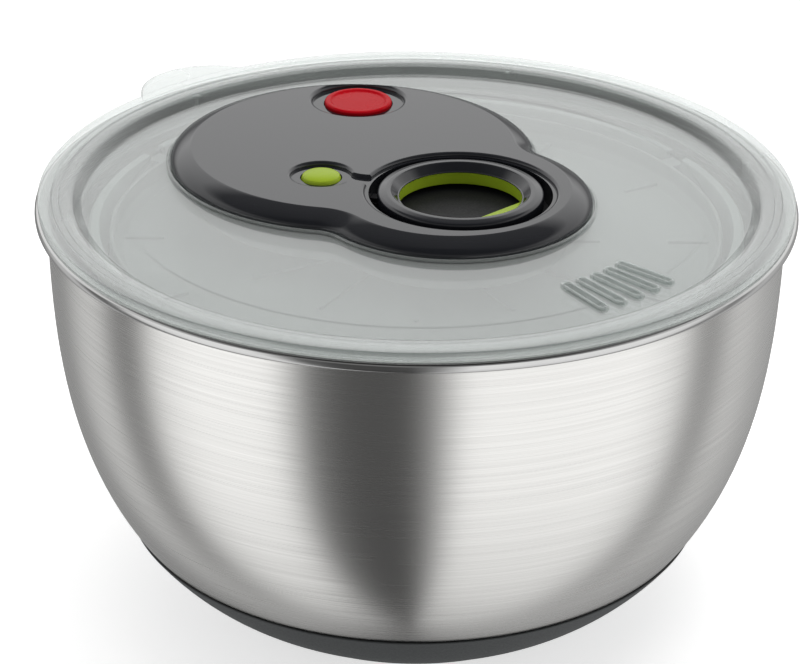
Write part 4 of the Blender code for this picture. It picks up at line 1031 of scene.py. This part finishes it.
def frosted_plastic(name, dark, light):
    material, tree = node_material(name)
    shader = principled(tree, light, 0.42)
    cloud = object_noise(tree, 28.0, detail=4.0)
    vary_colour(tree, shader, ranged(tree, cloud, 0.0, 1.0), dark, light)
    vary_roughness(tree, shader, cloud, 0.34, 0.50)
    add_bump(tree, shader, object_noise(tree, 1500.0, detail=2.0), 0.05, 0.0001)
    return material


FROSTED = frosted_plastic("frosted_plastic", (0.46, 0.485, 0.475), (0.55, 0.575, 0.565))
# Plate and tray: frosted plastic painted a darker grey, as painted shade for the inside of the closed spinner
# seen through the lid.
FROSTED_PAINTED_SHADE = frosted_plastic("frosted_plastic_painted_shade", (0.30, 0.315, 0.31), (0.37, 0.385, 0.38))
BASKET_FLOOR = 0.0148
BASKET_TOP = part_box("basket")[1].z - 0.0008
WALL_LOW = BASKET_FLOOR + 0.0012
WALL_STATIONS = (
    0.0, 0.02, 0.04, 0.06, 0.10, 0.14, 0.18, 0.22, 0.25, 0.34, 0.43, 0.52, 0.56, 0.66, 0.76, 0.86,
    0.93, 0.985, 1.0,
)
SLOT_ROWS = ((0.25, 0.52), (0.56, 0.86))
BASKET_SECTORS = 240
LUGS = 6
BASKET_FLOOR_RADIUS = 0.077
BASKET_RIM_RADIUS = 0.1125
LUG_RADIUS = 0.1115
PLATE_RADIUS = 0.1060
PLATE_TOP = 0.1281
RIM_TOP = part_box("drive_plate")[1].z


def basket_radius(height):
    rise = (height - BASKET_FLOOR) / (BASKET_TOP - BASKET_FLOOR)
    belly = (1.0 - (1.0 - rise) ** 3.0) ** (1.0 / 1.6)
    return BASKET_FLOOR_RADIUS + (BASKET_RIM_RADIUS - 0.0025 - BASKET_FLOOR_RADIUS) * belly


def spoke_box(name, inner, outer, width, low, high, azimuth):
    """A cube drawn out into a bar that runs outward from the drive axis."""
    angle = math.radians(azimuth)
    middle = (inner + outer) / 2
    place = (middle * math.cos(angle), middle * math.sin(angle), (low + high) / 2)
    bpy.ops.mesh.primitive_cube_add(size=1.0, location=place, rotation=(0.0, 0.0, angle))
    bar = bpy.context.active_object
    bar.name = name
    bar.scale = (outer - inner, width, high - low)
    only_select(bar)
    bpy.ops.object.transform_apply(location=True, rotation=True, scale=True)
    return bar


def lug_azimuth(index):
    return (index + 0.5) * 360.0 / LUGS


def basket_profile():
    """Out along the floor, up the wall with a station at each slot's ends, and out over the rim."""
    floor = BASKET_FLOOR_RADIUS
    profile = [(0.0072, BASKET_FLOOR), (floor * 0.35, BASKET_FLOOR), (floor * 0.94, BASKET_FLOOR)]
    for share in WALL_STATIONS:
        height = WALL_LOW + (BASKET_TOP - WALL_LOW) * share
        profile.append((basket_radius(height), height))
    rim = BASKET_RIM_RADIUS
    return profile + [(rim - 0.0006, BASKET_TOP), (rim, BASKET_TOP - 0.0008), (rim, BASKET_TOP - 0.0035)]


def is_slot(centre):
    """Whether the face at this place is in a drain slot: three sectors in six, in the floor or a row."""
    share = (centre.z - WALL_LOW) / (BASKET_TOP - WALL_LOW)
    in_wall = any(low < share < high for low, high in SLOT_ROWS)
    reach = math.hypot(centre.x, centre.y) / BASKET_FLOOR_RADIUS
    in_floor = abs(centre.z - BASKET_FLOOR) < 0.0004 and 0.36 < reach < 0.93
    azimuth = math.degrees(math.atan2(centre.y, centre.x)) % 360.0
    sector = int(azimuth * BASKET_SECTORS / 360.0)
    return (in_wall or in_floor) and sector % 6 < 3


def make_basket():
    profile = basket_profile()
    start = (0.0, 0.0, profile[0][1])
    bpy.ops.mesh.primitive_circle_add(vertices=BASKET_SECTORS, radius=profile[0][0], location=start)
    basket = bpy.context.active_object
    basket.name = "slotted_basket"
    bpy.ops.object.mode_set(mode="EDIT")
    bpy.ops.mesh.select_all(action="SELECT")
    extrude_along(profile)
    bpy.ops.mesh.select_all(action="DESELECT")
    bpy.ops.mesh.select_mode(type="FACE")
    bpy.ops.object.mode_set(mode="OBJECT")
    bpy.ops.object.transform_apply(location=True, rotation=True, scale=True)
    for face in basket.data.polygons:
        face.select = is_slot(face.center)
    bpy.ops.object.mode_set(mode="EDIT")
    bpy.ops.mesh.delete(type="FACE")
    bpy.ops.mesh.select_mode(type="VERT")
    face_outward()
    bpy.ops.object.mode_set(mode="OBJECT")
    wall = basket.modifiers.new("wall", "SOLIDIFY")
    wall.thickness = 0.0016
    wall.offset = 0.0
    bpy.ops.object.modifier_apply(modifier=wall.name)
    bevel_edges(basket, 0.00025, 1)
    inner = PLATE_RADIUS - 0.003
    outer = BASKET_RIM_RADIUS + 0.003
    for index in range(LUGS):
        azimuth = lug_azimuth(index)
        notch = spoke_box("notch", inner, outer, 0.0090, RIM_TOP - 0.0045, BASKET_TOP + 0.003, azimuth)
        combine(basket, "DIFFERENCE", notch)
    finish_piece(basket, "basket", FROSTED, ["basket"], 35.0)


make_basket()


# Drive plate: the disc that closes the basket and turns it, with an upturned rim,
# six lugs, stiffening ribs, and a cup in the middle for the clutch.

def make_plate():
    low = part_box("drive_plate")[0].z
    cup = 0.0183
    wall = 0.0016
    bore = 0.0023
    plate_under = PLATE_TOP - 0.0020
    cup_top = low + 0.0020
    outline = [
        (0.060, PLATE_TOP), (PLATE_RADIUS - wall - 0.0030, PLATE_TOP),
        (PLATE_RADIUS - wall, PLATE_TOP + 0.0030),
        (PLATE_RADIUS - wall, RIM_TOP), (PLATE_RADIUS, RIM_TOP), (PLATE_RADIUS, PLATE_TOP + 0.0020),
        (PLATE_RADIUS - 0.0035, plate_under), (cup + 0.0020, plate_under), (cup + 0.0020, low), (bore, low),
        (bore, cup_top), (cup, cup_top), (cup, PLATE_TOP), (0.060, PLATE_TOP),
    ]
    plate = lathe("ribbed_drive_plate", soften(outline, 0.0007, 3)[:-1], segments=192, ring=True)
    lug_low = RIM_TOP - 0.0030
    lug_high = RIM_TOP - 0.0004
    for index in range(LUGS):
        azimuth = lug_azimuth(index)
        lug = spoke_box("lug", PLATE_RADIUS - wall * 0.6, LUG_RADIUS, 0.0070, lug_low, lug_high, azimuth)
        combine(plate, "UNION", lug)
    for index in range(12):
        for inner, outer in ((0.0230, 0.0640), (0.0880, 0.1020)):
            rib = spoke_box("rib", inner, outer, 0.0014, PLATE_TOP - 0.0008, PLATE_TOP + 0.0009, 30.0 * index)
            combine(plate, "UNION", rib)
    # Darker grey finish: painted shade inside the closed spinner.
    finish_piece(plate, "plate", FROSTED_PAINTED_SHADE, ["drive_plate"], 32.0)


make_plate()


# Gear tray: the frosted cup screwed up under the lid, which closes the gears in.

SCREW_PLACES = ((0.0275, -0.0326), (-0.0640, 0.0540), (-0.0620, 0.0025), (0.0115, 0.0640))
SPOOL_CENTRE = (-0.02065, 0.02949)


def make_tray():
    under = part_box("gear_tray")[0].z
    flange_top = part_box("gear_tray")[1].z
    outer = OPENING_INSET + 0.0003
    flange = OPENING_INSET - 0.0050
    tray = lobed_loft("gear_cup", [
        (outer + 0.0022, under), (outer + 0.0008, under + 0.0005), (outer, under + 0.0020),
        (outer, flange_top - 0.0020), (flange + 0.0003, flange_top - 0.0020), (flange, flange_top - 0.0017),
        (flange, flange_top), (outer + 0.0020, flange_top), (outer + 0.0020, under + 0.0028),
        (outer + 0.0028, under + 0.0020),
    ])
    holes = [
        (0.0061, (0.0, 0.0), 64), (0.0058, STOP_CENTRE, 48), (0.0023, SPOOL_CENTRE, 32),
    ] + [(0.0014, place, 24) for place in SCREW_PLACES]
    cuts = [rod("hole", radius, under - 0.001, under + 0.003, place, sides) for radius, place, sides in holes]
    combine(tray, "DIFFERENCE", *cuts)
    # Darker grey finish: painted shade inside the closed spinner.
    finish_piece(tray, "lid", FROSTED_PAINTED_SHADE, ["gear_tray"], 32.0)


make_tray()


# Tray screws: four self-tapping steel screws with a cross recess.

def make_screws():
    low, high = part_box("tray_screw_1")
    head_top = low.z + 0.0016
    thread_top = high.z - 0.0012
    turns = 12
    thread = []
    for row in range(turns):
        z = thread_top - (thread_top - head_top - 0.0008) * row / turns
        thread += [(0.00080, z), (0.00108, z - 0.00018)]
    head = soften([(0.0027, head_top), (0.0028, low.z + 0.0009), (0.0021, low.z), (0.0002, low.z)], 0.0004, 3)
    profile = [(0.0001, high.z)] + thread + [(0.0010, head_top), (0.0027, head_top)] + head[1:]
    for number, place in enumerate(SCREW_PLACES, 1):
        screw = lathe("screw_%d" % number, profile, place, 36)
        for width, length in ((0.0007, 0.0026), (0.0026, 0.0007)):
            bpy.ops.mesh.primitive_cube_add(size=1.0, location=(*place, low.z + 0.0003))
            cross = bpy.context.active_object
            cross.scale = (width, length, 0.0012)
            bpy.ops.object.transform_apply(location=True, rotation=True, scale=True)
            combine(screw, "DIFFERENCE", cross)
        finish_piece(screw, "lid", BRIGHT_STEEL, ["tray_screw_%d" % number], 35.0)


make_screws()


# Brake shoe: a rubber pad on the end of the red button's stem.

def make_shoe():
    low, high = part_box("brake_shoe")
    rubber = grained("shoe_rubber", (0.045, 0.045, 0.045), 1800.0, (0.70, 0.92), 0.4)
    profile = soften([(0.0003, high.z), (0.0054, high.z), (0.0055, low.z), (0.0003, low.z)], 0.0005, 4)
    shoe = lathe("rubber_shoe", profile, STOP_CENTRE, 64)
    finish_piece(shoe, "stop", rubber, ["brake_shoe"], 40.0)


make_shoe()


# Mechanism inside the cover and the pivot on the bowl's floor: gears, clutch, axles and latch
# keep the shapes they were designed with, and get their finishes here.

def finish_node(name, material):
    """Gives a CAD node its finish."""
    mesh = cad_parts[name].data
    for index in range(len(mesh.materials)):
        mesh.materials[index] = material


WHITE_PLASTIC = moulded_plastic("white_plastic", (0.74, 0.74, 0.72), 0.42)
NODE_FINISHES = (
    (WHITE_PLASTIC, ("cord_spool", "drive_pinion", "basket_bush", "pawl_carrier", "clutch_drum")),
    (DARK_PLASTIC_AND_PAINTED_SHADE, ("pivot_foot", "ring_latch")),
    (BRIGHT_STEEL, ("pivot_pin", "spool_axle", "drive_axle", "rewind_spring", "plate_clip")),
    (BRIGHT_STEEL, ("clutch_pawl_1", "clutch_pawl_2")),
    (CORD_FIBRE, ("cord_winding", "cord_run")),
)
for finish, node_names in NODE_FINISHES:
    for node_name in node_names:
        finish_node(node_name, finish)


bpy.context.view_layer.update()
